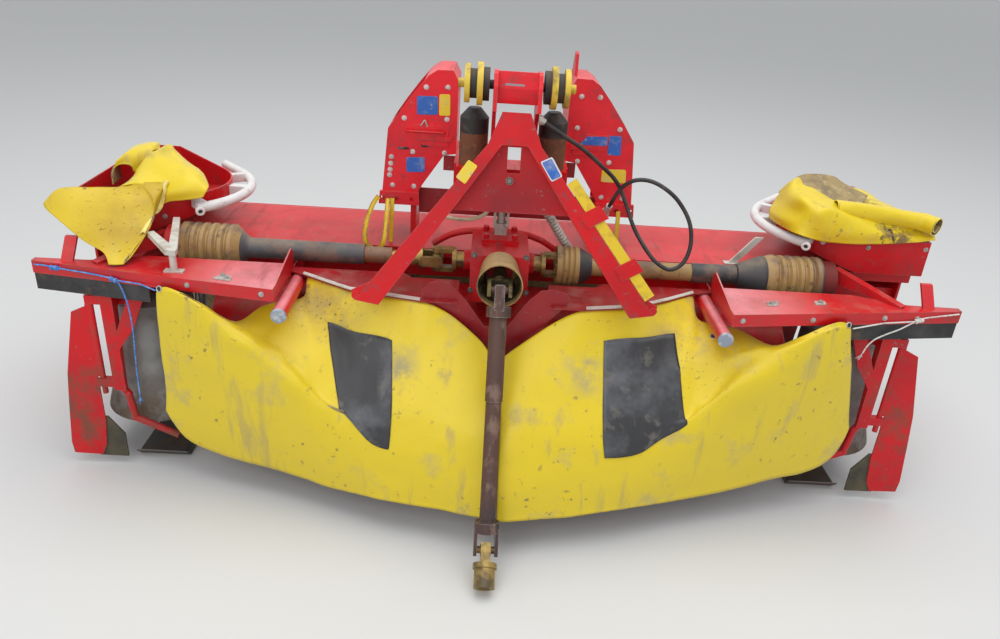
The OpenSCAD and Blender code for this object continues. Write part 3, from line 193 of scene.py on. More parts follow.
def mask_of(tree, coords, specs, amount):
    """The product of some fields, times an amount."""
    value, *others = [field(tree, coords, spec) for spec in specs] + [amount]
    for factor in others:
        value = add_node(tree, "Math", {0: value, 1: factor}, operation="MULTIPLY").outputs[0]
    return value


# %% The finish builder
def finish(name, colour, rough, metallic=0.0, layers=(), bumps=(), coat=0.0, sheen=0.0, shine=0.5):
    """A material of a base and layers of (colour, roughness, metallic, amount, fields)."""
    material = bpy.data.materials.new(name)
    material.use_nodes = True
    tree = material.node_tree
    shader = tree.nodes["Principled BSDF"]
    coords = add_node(tree, "TexCoord", {}).outputs["Object"]
    state = {"Base Color": (*colour, 1), "Roughness": rough, "Metallic": metallic}
    for socket, value in (*state.items(), ("Specular IOR Level", shine), ("Coat Weight", coat),
                          ("Coat Roughness", 0.18), ("Sheen Weight", sheen)):
        feed(tree, shader.inputs[socket], value)
    for new_colour, new_rough, new_metal, amount, specs in layers:
        factor = mask_of(tree, coords, specs, amount)
        for socket, value in (("Base Color", (*new_colour, 1)), ("Roughness", new_rough), ("Metallic", new_metal)):
            if state[socket] == value:
                continue
            mix = add_node(tree, "Mix", {"Factor": factor}, data_type="RGBA" if socket == "Base Color" else "FLOAT")
            a, b = [s for s in mix.inputs if s.enabled and s.name in ("A", "B")]
            feed(tree, a, state[socket])
            feed(tree, b, value)
            state[socket] = [s for s in mix.outputs if s.enabled][0]
            feed(tree, shader.inputs[socket], state[socket])
    normal = {}
    for scale, strength, depth, *stretch in bumps:
        place = add_node(tree, "Mapping", {"Vector": coords, "Scale": stretch[0] if stretch else (1, 1, 1)})
        texture = add_node(tree, "TexNoise", {"Vector": place.outputs[0], "Scale": scale, "Detail": 3})
        bump = add_node(tree, "Bump", {"Height": texture.outputs["Fac"], "Strength": strength, "Distance": depth,
                                       **normal})
        normal = {"Normal": bump.outputs[0]}
    for socket, value in normal.items():
        feed(tree, shader.inputs[socket], value)
    return material


def spots(colour, rough, amount, scale, low, high, metallic=0.0):
    """A layer that shows where one noise field is high."""
    return (colour, rough, metallic, amount, [("noise", scale, low, high)])


# %% [markdown]
# ## Red paint and the steels
# The red is a glossy enamel with a painted highlight: a little pink on upward faces, for the pale
# sky, where dust also lies. Primer and bare steel show at knocked edges, brown splashes stick to
# the lower parts, and fine scratches run across.
# The inner sheet near the gearbox, the cross plate and the beam ends are the same paint made
# darker: painted shade, as they sit deep between and behind other parts.

# %% Paints
RED = (0.66, 0.007, 0.012)
DUST = (0.36, 0.22, 0.17)
MUD = (0.13, 0.085, 0.05)
PRIMER = (0.3, 0.16, 0.13)


def red_layers(dust_and_highlight, mud, chips):
    """Patchy tone, a painted pink highlight on upward faces, dust, mud and chips over the red enamel,
    in the given amounts.
    """
    return [
        spots((0.43, 0.008, 0.014), 0.42, 0.7, 2.2, 0.42, 0.62),
        # Painted highlight: pale pink on upward faces, for the grey sky's light on the red.
        ((0.7, 0.07, 0.07), 0.5, 0.0, 0.5 * dust_and_highlight, [("noise", 5.0, 0.45, 0.7), ("up", 0.5, 0.95)]),
        (DUST, 0.8, 0.0, dust_and_highlight, [("noise", 14.0, 0.5, 0.72), ("up", 0.2, 0.9)]),
        (MUD, 0.85, 0.0, mud, [("noise", 9.0, 0.5, 0.66), ("z", 0.95, 0.15)]),
        ((0.28, 0.05, 0.05), 0.6, 0.0, 0.5, [("noise", 22.0, 0.56, 0.66, (1, 0.12, 1))]),
        (PRIMER, 0.6, 0.0, chips, [("edge", 0.004), ("noise", 30.0, 0.44, 0.56)]),
        ((0.2, 0.19, 0.18), 0.45, 0.7, chips, [("noise", 55.0, 0.66, 0.7)]),
    ]


# The red's wear layers carry the painted pink highlight on upward faces too.
RED_WEAR_AND_HIGHLIGHT, PAINT_BUMPS = red_layers(0.35, 0.8, 0.7), [(160, 0.05, 0.002), (7, 0.1, 0.01)]
red_paint = finish("red_paint", RED, 0.34, layers=RED_WEAR_AND_HIGHLIGHT, coat=0.06, bumps=PAINT_BUMPS, shine=0.3)
# Painted shade: the same red, darker, for parts deep between and behind others.
red_with_painted_shade = finish("red_paint_with_painted_shade", (0.26, 0.006, 0.01), 0.42, layers=red_layers(0.35, 0.6, 0.5),
                  bumps=[(160, 0.06, 0.002), (9, 0.15, 0.01)])
white_enamel = finish("white_enamel", (0.78, 0.77, 0.76), 0.35, bumps=[(120, 0.06, 0.002)], layers=[
    spots((0.6, 0.45, 0.42), 0.6, 0.45, 12, 0.5, 0.68),
    spots(PRIMER, 0.7, 0.8, 45, 0.64, 0.68)])
yellow_paint = finish("yellow_paint", (0.8, 0.55, 0.02), 0.4, bumps=[(120, 0.06, 0.002)], layers=[
    spots((0.45, 0.27, 0.05), 0.7, 0.7, 16, 0.5, 0.66),
    (PRIMER, 0.7, 0.3, 0.9, [("edge", 0.003), ("noise", 40.0, 0.42, 0.52)])])

# %% Steels
bare_steel = finish("worn_steel", (0.1, 0.095, 0.09), 0.55, 0.75, bumps=[(60, 0.2, 0.004), (220, 0.1, 0.002)], layers=[
    spots((0.09, 0.045, 0.025), 0.85, 0.8, 8, 0.46, 0.6),
    spots(MUD, 0.9, 0.8, 15, 0.5, 0.64),
    ((0.45, 0.44, 0.42), 0.3, 1.0, 0.7, [("edge", 0.004)])])
blade_steel = finish("blade_steel", (0.4, 0.39, 0.37), 0.38, 0.95, bumps=[(90, 0.12, 0.003)], layers=[
    spots((0.16, 0.09, 0.05), 0.8, 0.7, 10, 0.48, 0.6, 0.1),
    ((0.62, 0.61, 0.6), 0.22, 1.0, 0.8, [("edge", 0.005)])])
galvanised = finish("galvanised_steel", (0.5, 0.49, 0.47), 0.45, 0.8, bumps=[(70, 0.1, 0.002)], layers=[
    spots((0.32, 0.3, 0.28), 0.6, 0.8, 25, 0.45, 0.6, 0.6),
    spots((0.26, 0.15, 0.09), 0.8, 0.6, 18, 0.58, 0.68, 0.1)])
cone_grey = finish("bare_grey_sheet", (0.3, 0.3, 0.29), 0.5, 0.55, bumps=[
    (18, 0.18, 0.006), (150, 0.1, 0.002)], layers=[
    spots((0.17, 0.16, 0.14), 0.7, 0.8, 6, 0.45, 0.62, 0.2),
    (MUD, 0.9, 0.0, 0.9, [("z", 0.36, 0.22), ("noise", 12.0, 0.35, 0.55)])])
passivated = finish("greasy_passivated_forging", (0.36, 0.25, 0.08), 0.42, 0.7, bumps=[(50, 0.25, 0.004)], layers=[
    spots((0.05, 0.035, 0.02), 0.35, 0.85, 13, 0.47, 0.6, 0.1),
    spots((0.25, 0.13, 0.06), 0.8, 0.6, 30, 0.55, 0.66, 0.1)])

# %% [markdown]
# ## Plastics, rubber and coated cloth
# The shaft guards are tan plastic with black grease in their folds. The cloth is a yellow
# coated fabric: smooth and a little shiny, with black mould spots and brown stains. Stains that
# the photo shows at one place only are layers too, with a mask that ends around that place; so
# is the painted shade inside the left bell.

# %% Plastics and rubber
tan_plastic = finish("tan_plastic", (0.42, 0.27, 0.09), 0.5, bumps=[(70, 0.1, 0.002)], layers=[
    spots((0.1, 0.065, 0.04), 0.6, 0.85, 11, 0.48, 0.62),
    ((0.58, 0.42, 0.22), 0.55, 0.0, 0.5, [("up", 0.5, 1.0)])])
# Black rubber, also used as painted shade: black discs in the hoops' open ends and the eyelets' holes.
black_rubber = finish("black_rubber", (0.02, 0.02, 0.022), 0.62, bumps=[(60, 0.2, 0.003)], layers=[
    spots((0.11, 0.1, 0.095), 0.85, 0.6, 7, 0.42, 0.66),
    spots(MUD, 0.9, 0.7, 20, 0.55, 0.66)])
flap_rubber = finish("muddy_flap_rubber", (0.035, 0.034, 0.028), 0.75, bumps=[(40, 0.3, 0.004)], layers=[
    spots((0.13, 0.11, 0.06), 0.9, 0.8, 6, 0.4, 0.62)])

# %% Coated cloth
YELLOW = (0.78, 0.585, 0.012)


def cloth_layers(dirt):
    """Fading, stains, dribbles and mould spots on the yellow cloth."""
    return [
        spots((0.74, 0.55, 0.018), 0.5, 0.7, 2.6, 0.45, 0.68),
        ((0.5, 0.4, 0.16), 0.6, 0.0, 0.8 * dirt, [("noise", 7.0, 0.56, 0.72)]),
        ((0.4, 0.31, 0.14), 0.7, 0.0, 0.6 * dirt, [("noise", 11.0, 0.58, 0.68, (1, 1, 0.14))]),
        ((0.17, 0.13, 0.07), 0.7, 0.0, dirt, [("noise", 34.0, 0.62, 0.68), ("noise", 3.0, 0.46, 0.58)]),
        spots((0.05, 0.045, 0.03), 0.7, 0.8, 90, 0.71, 0.735),
    ]


yellow_cloth = finish("coated_yellow_cloth", YELLOW, 0.4, layers=cloth_layers(0.75), sheen=0.1,
                      bumps=[(420, 0.05, 0.001), (9, 0.12, 0.006)])
cloth_back = finish("cloth_underside", (0.34, 0.245, 0.11), 0.75, layers=[
    spots((0.2, 0.15, 0.08), 0.8, 0.8, 14, 0.46, 0.6),
    spots((0.52, 0.41, 0.22), 0.8, 0.7, 42, 0.54, 0.64)], bumps=[(300, 0.15, 0.001)])


# %% Cloths with stains at their own places
def blotch(x, z, half_width, half_height, colour, amount, grain=14.0, share=(0.38, 0.56)):
    """A ragged stain at one place of a cloth."""
    return (colour, 0.7, 0.0, amount, [
        ("x", x - 1.6 * half_width, x - 0.2 * half_width), ("x", x + 1.6 * half_width, x + 0.2 * half_width),
        ("z", z - 1.6 * half_height, z - 0.2 * half_height), ("z", z + 1.6 * half_height, z + 0.2 * half_height),
        ("noise", grain, *share)])


GREY_STAIN, OCHRE_STAIN, SPECKS = (0.27, 0.25, 0.21), (0.42, 0.3, 0.11), (0.07, 0.05, 0.025)
curtain_cloth = finish("stained_curtain_cloth", YELLOW, 0.4, layers=cloth_layers(0.85) + [
    blotch(-0.315, 0.54, 0.045, 0.045, GREY_STAIN, 0.75), blotch(0.277, 0.56, 0.04, 0.045, GREY_STAIN, 0.75),
    blotch(-0.56, 0.665, 0.09, 0.06, OCHRE_STAIN, 0.85, 8.0),
    blotch(-0.56, 0.655, 0.1, 0.06, SPECKS, 0.9, 75.0, (0.6, 0.65)),
    blotch(0.555, 0.64, 0.08, 0.06, OCHRE_STAIN, 0.75, 9.0),
    blotch(0.6, 0.56, 0.11, 0.07, SPECKS, 0.8, 80.0, (0.61, 0.66)),
    blotch(-0.36, 0.76, 0.12, 0.022, OCHRE_STAIN, 0.8, 20.0)],
    sheen=0.1, bumps=[(420, 0.05, 0.001), (9, 0.16, 0.008), (26, 0.12, 0.004)])
# Painted shade: inside the left bell the yellow is darker, most of all in its upper inner part.
bell_cloth = finish("stained_bell_cloth_with_painted_shade", (0.7, 0.5, 0.012), 0.42, layers=cloth_layers(0.9) + [
    ((0.46, 0.29, 0.012), 0.5, 0.0, 0.85, [("x", -1.4, -1.26), ("z", 0.8, 0.86), ("noise", 3.2, 0.3, 0.52)]),
    ((0.1, 0.07, 0.02), 0.8, 0.0, 0.85, [("x", -1.42, -1.28), ("noise", 85.0, 0.62, 0.66)])],
    bumps=[(420, 0.05, 0.001), (12, 0.2, 0.006)])
# Painted highlight: the bell's curled rim is a brighter yellow, for light along the lip.
rim_cloth_painted_highlight = finish("cloth_rim_painted_highlight", (0.84, 0.7, 0.2), 0.45, bumps=[(300, 0.08, 0.001)], layers=[
    spots((0.5, 0.38, 0.12), 0.7, 0.6, 24, 0.52, 0.64)])
stained_cloth = finish("stained_yellow_cloth", YELLOW, 0.42, layers=cloth_layers(0.9) + [
    ((0.2, 0.125, 0.05), 0.75, 0.0, 0.95, [("x", 1.25, 1.3), ("x", 1.44, 1.36), ("noise", 24.0, 0.46, 0.58)]),
    ((0.05, 0.035, 0.02), 0.8, 0.0, 0.95, [("x", 1.25, 1.29), ("x", 1.42, 1.32), ("noise", 55.0, 0.55, 0.6)])],
    bumps=[(420, 0.05, 0.001), (22, 0.3, 0.006)])
patch_rubber = finish("patch_rubber", (0.03, 0.03, 0.033), 0.42, bumps=[(12, 0.35, 0.008), (200, 0.1, 0.001)], layers=[
    spots((0.12, 0.125, 0.14), 0.38, 0.7, 4, 0.46, 0.6),
    spots((0.2, 0.18, 0.15), 0.8, 0.5, 18, 0.56, 0.68)])
print("finishes:", len(bpy.data.materials))

# %% [markdown]
# ## Cords
# Three cords lie free on the machine: a hydraulic hose from the top bracket to the right tower's
# flange, and a baler twine on each rail. Each could be simulated as a chain of small links, but
# the photo shows their routes from end to end, so each is one smooth curve through points read
# from it, at its real length. The model's solids follow the same points.

# %% Smooth routes
def between(a, b, c, d, t):
    """Point at t between b and c, on the smooth curve through a, b, c and d."""
    return 0.5 * (2 * b + (c - a) * t + (2 * a - 5 * b + 4 * c - d) * t ** 2 + (3 * b - a - 3 * c + d) * t ** 3)


def smooth_route(points, steps):
    """A denser list of points on the smooth curve through a route's points."""
    route = [np.array(p, float) for p in points]
    last = len(route) - 1
    dense = [between(route[max(i - 1, 0)], route[i], route[i + 1], route[min(i + 2, last)], k / steps)
             for i in range(last) for k in range(steps)]
    return dense + [route[last]]


def length_of(route):
    """Length along a list of points."""
    return float(sum(np.linalg.norm(b - a) for a, b in zip(route, route[1:])))


def cord_curve(name, route, radius, material):
    """A round cord as one open curve."""
    data = bpy.data.curves.new(name, "CURVE")
    data.dimensions = "3D"
    data.bevel_depth = radius
    data.bevel_resolution = 4
    data.use_fill_caps = True
    line = data.splines.new("POLY")
    line.points.add(len(route) - 1)
    for point, place in zip(line.points, route):
        point.co = (*place, 1)
    cord = bpy.data.objects.new(name, data)
    bpy.context.scene.collection.objects.link(cord)
    data.materials.append(material)
    return cord


# %% Routes, in metres
HOSE_ROUTE = [
    (0.092, -0.1, 1.284), (0.131, -0.1, 1.26), (0.178, -0.084, 1.23), (0.226, -0.06, 1.197),
    (0.301, 0.000, 1.13), (0.354, 0.034, 1.078), (0.39, 0.038, 1.02), (0.43, 0.000, 0.93),
    (0.474, -0.046, 0.868), (0.514, -0.068, 0.83), (0.56, -0.076, 0.813), (0.602, -0.068, 0.84),
    (0.62, -0.05, 0.9), (0.606, -0.034, 0.972), (0.56, -0.02, 1.038), (0.505, -0.01, 1.078),
    (0.455, 0.000, 1.094), (0.408, 0.012, 1.086), (0.374, 0.032, 1.05), (0.356, 0.054, 1.000),
    (0.352, 0.08, 0.975)]
TWINE_LEFT_ROUTE = [
    (-1.49, -0.2225, 0.768), (-1.455, -0.2279, 0.769), (-1.419, -0.2335, 0.766), (-1.37, -0.2412, 0.763),
    (-1.322, -0.2486, 0.761), (-1.27, -0.2568, 0.757), (-1.228, -0.265, 0.751), (-1.21, -0.268, 0.736),
    (-1.198, -0.27, 0.7), (-1.19, -0.271, 0.65), (-1.188, -0.271, 0.58), (-1.192, -0.27, 0.51),
    (-1.197, -0.268, 0.44), (-1.2, -0.266, 0.38), (-1.201, -0.265, 0.33)]
TWINE_RIGHT_ROUTE = [
    (1.49, -0.2225, 0.772), (1.45, -0.2287, 0.768), (1.41, -0.235, 0.764), (1.37, -0.2412, 0.759),
    (1.33, -0.25, 0.744), (1.29, -0.257, 0.722), (1.25, -0.261, 0.704), (1.215, -0.264, 0.684),
    (1.196, -0.266, 0.66), (1.187, -0.267, 0.634)]

# %% The three cords
hose_rubber = finish("hose_rubber", (0.018, 0.018, 0.02), 0.48, bumps=[(900, 0.12, 0.0006)], layers=[
    spots((0.1, 0.085, 0.07), 0.8, 0.6, 14, 0.46, 0.66),
    ((0.22, 0.2, 0.18), 0.7, 0.0, 0.4, [("up", 0.4, 1.0), ("noise", 30.0, 0.5, 0.7)])])
blue_twine = finish("blue_twine", (0.045, 0.22, 0.62), 0.55, bumps=[(700, 0.5, 0.001, (1, 1, 0.3))], layers=[
    spots((0.3, 0.46, 0.72), 0.6, 0.7, 90, 0.48, 0.62),
    spots(MUD, 0.8, 0.5, 20, 0.55, 0.68)])
white_twine = finish("white_twine", (0.74, 0.73, 0.69), 0.55, bumps=[(700, 0.5, 0.001, (1, 1, 0.3))], layers=[
    spots((0.5, 0.46, 0.38), 0.6, 0.7, 90, 0.5, 0.64),
    spots(MUD, 0.8, 0.6, 20, 0.56, 0.68)])
CORDS = {}
for name, route, radius, material, slot in (
        ("hydraulic_hose", HOSE_ROUTE, 0.007, hose_rubber, "hose_rubber"),
        ("twine_left", TWINE_LEFT_ROUTE, 0.0025, blue_twine, "blue_twine"),
        ("twine_right", TWINE_RIGHT_ROUTE, 0.0025, white_twine, "white_twine")):
    line = smooth_route(route, 6)
    CORDS[name] = (cord_curve(name + "_cord", line, radius, material), line)
    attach(CORDS[name][0], "frame")
    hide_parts(name)
    print(name, round(length_of(line), 3), "m")

# %% [markdown]
# The twines are knotted, and their cut ends fray. A knot could be a real tangle, but all that
# shows from outside is a short coil. A frayed end is a bundle of thin strips.

# %% Knots
def knot(name, at, turns, radius, wrap, axis, material):
    """A short coil of twine round another, as a knot seen from outside."""
    axis = Vector(axis).normalized()
    side = axis.orthogonal().normalized()
    across = axis.cross(side)
    route, per_turn, pitch = [], 12, 2.2 * radius
    for i in range(turns * per_turn + 1):
        angle = 2 * math.pi * i / per_turn
        bulge = wrap * (1 + 0.25 * math.sin(angle * 0.41))
        place = Vector(at) + axis * (i / (turns * per_turn) - 0.5) * turns * pitch \
            + bulge * (side * math.cos(angle) + across * math.sin(angle))
        route.append(np.array(place))
    piece = cord_curve(name, route, radius, material)
    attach(piece, "frame")
    return piece


knots_left = [knot("twine_knot_left_a", (-1.419, -0.2355, 0.7655), 5, 0.0026, 0.0052, (1, -0.15, 0), blue_twine),
              knot("twine_knot_left_b", (-1.225, -0.2675, 0.75), 4, 0.0026, 0.0052, (1, -0.2, -0.3), blue_twine)]
knots_right = [knot("twine_knot_right", (1.352, -0.2475, 0.7525), 5, 0.0026, 0.0052, (1, 0.12, 0.2), white_twine)]


# %% Frayed ends
def mesh_piece(name, verts, faces, materials, body="frame", kinds=None):
    """A mesh with its finishes that rides on a body; kinds picks a finish for each face."""
    mesh = bpy.data.meshes.new(name)
    mesh.from_pydata(verts, [], faces)
    for material in materials:
        mesh.materials.append(material)
    if kinds is not None:
        mesh.polygons.foreach_set("material_index", kinds)
    piece = bpy.data.objects.new(name, mesh)
    bpy.context.scene.collection.objects.link(piece)
    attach(piece, body)
    return piece


def fibres(name, at, down, count, reach, material):
    """A frayed end: thin strips that part from one point."""
    verts, faces = [], []
    down = Vector(down).normalized()
    for i in range(count):
        angle = 2.4 * i
        drift = Vector((math.cos(angle), 0.5 * math.sin(angle), 0)) * 0.01 * (0.4 + (i % 5) / 5)
        long = reach * (0.6 + 0.4 * ((i * 7) % 5) / 5)
        base = len(verts)
        for k in range(5):
            t = k / 4
            centre = Vector(at) + down * long * t + drift * t * t
            for dx, dy in ((-1, -1), (1, -1), (1, 1), (-1, 1)):
                verts.append(centre + Vector((dx, dy, 0)) * 0.0005)
        for k in range(4):
            for c in range(4):
                a, b = base + 4 * k + c, base + 4 * k + (c + 1) % 4
                faces.append((a, b, b + 4, a + 4))
        faces.append((base + 3, base + 2, base + 1, base))
        faces.append((base + 16, base + 17, base + 18, base + 19))
    return mesh_piece(name, verts, faces, [material])


fray_left = fibres("twine_fray_left", (-1.201, -0.265, 0.332), (-0.1, 0.05, -1), 12, 0.045, blue_twine)
fray_right = fibres("twine_fray_right", (1.187, -0.267, 0.636), (-0.3, 0, -1), 10, 0.03, white_twine)
for name, route, diameter, far_end, stiffness, pieces in (
        ("hydraulic_hose", HOSE_ROUTE, 0.014, "fitting", "stiff", [nodes["zinc_fittings"]]),
        ("twine_left", TWINE_LEFT_ROUTE, 0.005, "bare", "limp", knots_left + [fray_left]),
        ("twine_right", TWINE_RIGHT_ROUTE, 0.005, "bare", "medium", knots_right + [fray_right])):
    cord, line = CORDS[name]

# %% [markdown]
# From each knot a second strand runs on to the curtain's corner. It is pulled tight, so it is
# a tie rather than a free cord.

# %% Tight strands
TIE_LEFT = [(-1.225, -0.2685, 0.75), (-1.142, -0.2795, 0.7465), (-1.084, -0.3035, 0.738)]
TIE_RIGHT = [(1.352, -0.2475, 0.75), (1.23, -0.2665, 0.746), (1.113, -0.3045, 0.738)]
for name, ends, material in (("twine_tie_left", TIE_LEFT, blue_twine), ("twine_tie_right", TIE_RIGHT, white_twine)):
    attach(cord_curve(name, ends, 0.0024, material), "frame")

# %% [markdown]
# ## Finishes for the imported solids
# A imported solid keeps its mesh, and only its material slot changes. Most solids have one
# finish. The rollers, the spring cans and the shaft guards change material along their length,
# so their finish has more layers whose mask is a place along an axis: that is how a seam
# between two plastics can be drawn on one mesh. Wider ramps of the same kind paint the sky's
# pale shine on the decks as a highlight, and paint shade on the triangle's web.

# %% Finishes with zones along an axis
roller_finish = finish("roller_rubber_and_rim", (0.025, 0.024, 0.024), 0.55, bumps=[(80, 0.15, 0.002)], layers=[
    ((0.72, 0.52, 0.05), 0.45, 0.0, 1.0, [("x", 0.103, 0.104, "both sides"), ("x", 0.1225, 0.1222, "both sides")]),
    ((0.72, 0.52, 0.05), 0.45, 0.0, 1.0, [("x", 0.143, 0.144, "both sides")]),
    spots((0.1, 0.06, 0.03), 0.7, 0.6, 12, 0.48, 0.62)])
can_finish = finish("rusty_can_with_black_head", (0.2, 0.075, 0.035), 0.75, 0.2, bumps=[(45, 0.35, 0.004)], layers=[
    spots((0.09, 0.04, 0.025), 0.8, 0.8, 9, 0.45, 0.6, 0.1),
    spots((0.36, 0.19, 0.1), 0.85, 0.6, 30, 0.54, 0.68),
    ((0.022, 0.02, 0.02), 0.6, 0.0, 1.0, [("z", 1.222, 1.224)]),
    ((0.12, 0.08, 0.05), 0.8, 0.0, 0.6, [("z", 1.222, 1.224), ("noise", 24.0, 0.54, 0.66)])])
chalky_zinc = finish("chalky_zinc", (0.5, 0.47, 0.42), 0.55, 0.35, bumps=[(90, 0.2, 0.002)], layers=[
    spots((0.26, 0.2, 0.15), 0.7, 0.7, 20, 0.48, 0.62, 0.1),
    spots((0.1, 0.07, 0.05), 0.8, 0.7, 48, 0.6, 0.68)])
greasy_gearbox = finish("gearbox_red_with_greasy_joint", RED, 0.34, layers=RED_WEAR_AND_HIGHLIGHT + [
    ((0.23, 0.17, 0.065), 0.4, 0.2, 1.0, [("y", -0.208, -0.212)]),
    ((0.035, 0.028, 0.02), 0.3, 0.0, 0.95, [("y", -0.208, -0.212), ("noise", 26.0, 0.44, 0.56)])],
    bumps=[(160, 0.05, 0.002), (30, 0.25, 0.004)], shine=0.3)
shaft_brown = finish("old_shaft_tube", (0.105, 0.052, 0.04), 0.62, 0.25, bumps=[
    (45, 0.3, 0.003), (180, 0.2, 0.002)], layers=[
    ((0.05, 0.035, 0.035), 0.6, 0.2, 0.8, [("noise", 9.0, 0.44, 0.6, (1, 1, 0.3))]),
    ((0.26, 0.17, 0.13), 0.8, 0.0, 0.7, [("noise", 26.0, 0.54, 0.66, (1, 1, 0.4))]),
    ((0.42, 0.4, 0.38), 0.35, 0.9, 0.7, [("edge", 0.003)])])
pale_strip = finish("pale_clamp_strip", (0.62, 0.6, 0.54), 0.5, 0.2, bumps=[(90, 0.12, 0.001)], layers=[
    spots((0.34, 0.28, 0.2), 0.7, 0.6, 20, 0.5, 0.64)])
# Painted highlight: pale pink on the decks' upward faces, for the grey sky's shine.
deck_red_painted_highlight = finish("deck_red_with_painted_sky_highlight", RED, 0.3, layers=[
    ((0.84, 0.31, 0.34), 0.34, 0.0, 0.85,
     [("up", 0.6, 0.95), ("x", 1.06, 0.78, "both sides"), ("noise", 2.2, 0.26, 0.5)])]
    + RED_WEAR_AND_HIGHLIGHT, bumps=PAINT_BUMPS, coat=0.1)
# Painted shade: the web's lower middle, between the triangle's legs, is darker; its paint is also rougher there.
web_red_painted_shade = finish("triangle_red_with_painted_shade_on_web", RED, 0.34, layers=[
    ((0.15, 0.018, 0.024), 0.55, 0.0, 0.75, [("x", 0.2, 0.05, "both sides"), ("z", 1.22, 1.06)])]
    + RED_WEAR_AND_HIGHLIGHT, bumps=PAINT_BUMPS, coat=0.06, shine=0.3)
sooty_boss = finish("gearbox_red_with_sooty_boss", RED, 0.34, layers=RED_WEAR_AND_HIGHLIGHT + [
    ((0.11, 0.025, 0.022), 0.6, 0.0, 0.85, [("x", 1.165, 1.135), ("noise", 9.0, 0.3, 0.52)])],
    bumps=PAINT_BUMPS, shine=0.3)
bright_red = finish("bright_tower_red", (0.86, 0.013, 0.026), 0.34, layers=red_layers(0.35, 0.7, 0.7), coat=0.06,
                    bumps=PAINT_BUMPS, shine=0.4)
TAN, SOOT, BROWN = (0.36, 0.225, 0.08), (0.03, 0.03, 0.034), (0.2, 0.085, 0.035)


def guard_finish(name, zones):
    """Plastics along a shaft guard: the first colour, then each next one from its |x| outwards."""
    steps = [(colour, 0.5, 0.0, 1.0, [("x", x - 0.0005, x + 0.0005, "both sides")]) for x, colour in zones[1:]]
    return finish(name, zones[0][1], 0.5, bumps=[(70, 0.12, 0.002), (14, 0.1, 0.004)], layers=steps + [
        spots((0.17, 0.1, 0.07), 0.6, 0.8, 9, 0.48, 0.6),
        spots((0.055, 0.035, 0.022), 0.5, 0.7, 31, 0.6, 0.68),
        ((0.52, 0.4, 0.26), 0.65, 0.0, 0.3, [("up", 0.4, 1.0), ("noise", 6.0, 0.4, 0.6)])])


guard_left = guard_finish("guard_plastics_left", [(0.0, BROWN), (0.478, (0.065, 0.063, 0.068)), (0.89, TAN)])
guard_right = guard_finish("guard_plastics_right", [
    (0.0, TAN), (0.253, SOOT), (0.299, TAN), (0.6445, SOOT), (0.895, TAN), (1.045, (0.24, 0.14, 0.06)), (1.08, SOOT)])

# %% One finish for each solid
FINISH_OF = {
    "a_frame": web_red_painted_shade, "tower": bright_red, "top_bracket": bright_red, "center_link": chalky_zinc,
    "rollers": roller_finish, "spring_cans": can_finish, "deck": deck_red_painted_highlight, "center_sheet": red_with_painted_shade,
    "center_gearbox": greasy_gearbox, "end_gearbox_right": sooty_boss, "input_cone": tan_plastic,
    "front_shaft_upper": shaft_brown, "front_shaft_lower": shaft_brown, "free_yoke": passivated,
    "cross_shaft": passivated, "shaft_guard_left": guard_left, "shaft_guard_right": guard_right,
    "cutter_bar": bare_steel, "disc": blade_steel, "conditioner_rotor": bare_steel, "swath_cone": cone_grey,
    "board_flap": flap_rubber, "rail_strips": black_rubber, "guard_hoop": white_enamel,
    "guard_cloth": yellow_cloth, "front_cloth": yellow_cloth, "curtain": yellow_cloth, "yellow_bar": yellow_paint,
    "zinc_fittings": pale_strip, "hydraulic_hose": hose_rubber, "twine_left": blue_twine, "twine_right": white_twine}
for name, solid in nodes.items():
    family = "disc" if name.startswith("disc_") else name.removesuffix("_left").removesuffix("_right")
    solid.data.materials.clear()
    solid.data.materials.append(FINISH_OF.get(name, FINISH_OF.get(family, red_paint)))
print("finished", len(nodes), "solids")

# %% [markdown]
# ## How the cloth is made
# The coated cloth is stiff: it bends in broad folds and keeps them. A simulation from flat
# sheets was one way, but these folds were pressed in over years and the photo shows them well.
# So each cloth starts from a coarse net of points read from the photo, a smooth surface is laid
# through the net, and small ripples, fold lines and a hem are added before it gets its
# thickness. Front and back have their own finish, because the underside is never as clean.

# %% A sheet from a coarse net
def dense_net(columns, across, down):
    """The net's points with more rows and columns on smooth curves through them."""
    net = np.array(columns, float)
    for axis, steps in ((0, across), (1, down)):
        lines = np.swapaxes(net, 0, axis)
        last = len(lines) - 1
        rows = [between(lines[max(i - 1, 0)], lines[i], lines[i + 1], lines[min(i + 2, last)], k / steps)
                for i in range(last) for k in range(steps)] + [lines[last]]
        net = np.swapaxes(np.array(rows), 0, axis)
    return net


def outward(net):
    """Unit normals of a net whose columns run right and whose rows run down."""
    normals = np.cross(np.gradient(net, axis=1), np.gradient(net, axis=0))
    normals /= np.maximum(np.linalg.norm(normals, axis=2, keepdims=True), 1e-9)
    return normals


def rippled(net, normals, height, scale, seed):
    """The net with soft ripples along its normals."""
    moved = net.copy()
    for i, column in enumerate(net):
        for j, point in enumerate(column):
            place = Vector(point) * scale + Vector((seed, 0, 0))
            moved[i, j] += normals[i, j] * height * (noise.noise(place) + 0.4 * noise.noise(place * 2.7))
    return moved


def folded(net, normals, lines):
    """The net with pressed fold lines, each (start, end, width, height) in metres."""
    moved = net.copy()
    for start, end, width, height in lines:
        a, b = np.array(start), np.array(end)
        t = np.clip(((net - a) @ (b - a)) / ((b - a) @ (b - a)), 0, 1)
        away = np.linalg.norm(net - (a + t[..., None] * (b - a)), axis=2)
        ends = np.minimum(1, 6 * np.minimum(t + 0.05, 1.05 - t))
        moved += normals * (height * ends * np.exp(-np.abs(away / width) ** 1.3))[..., None]
    return moved


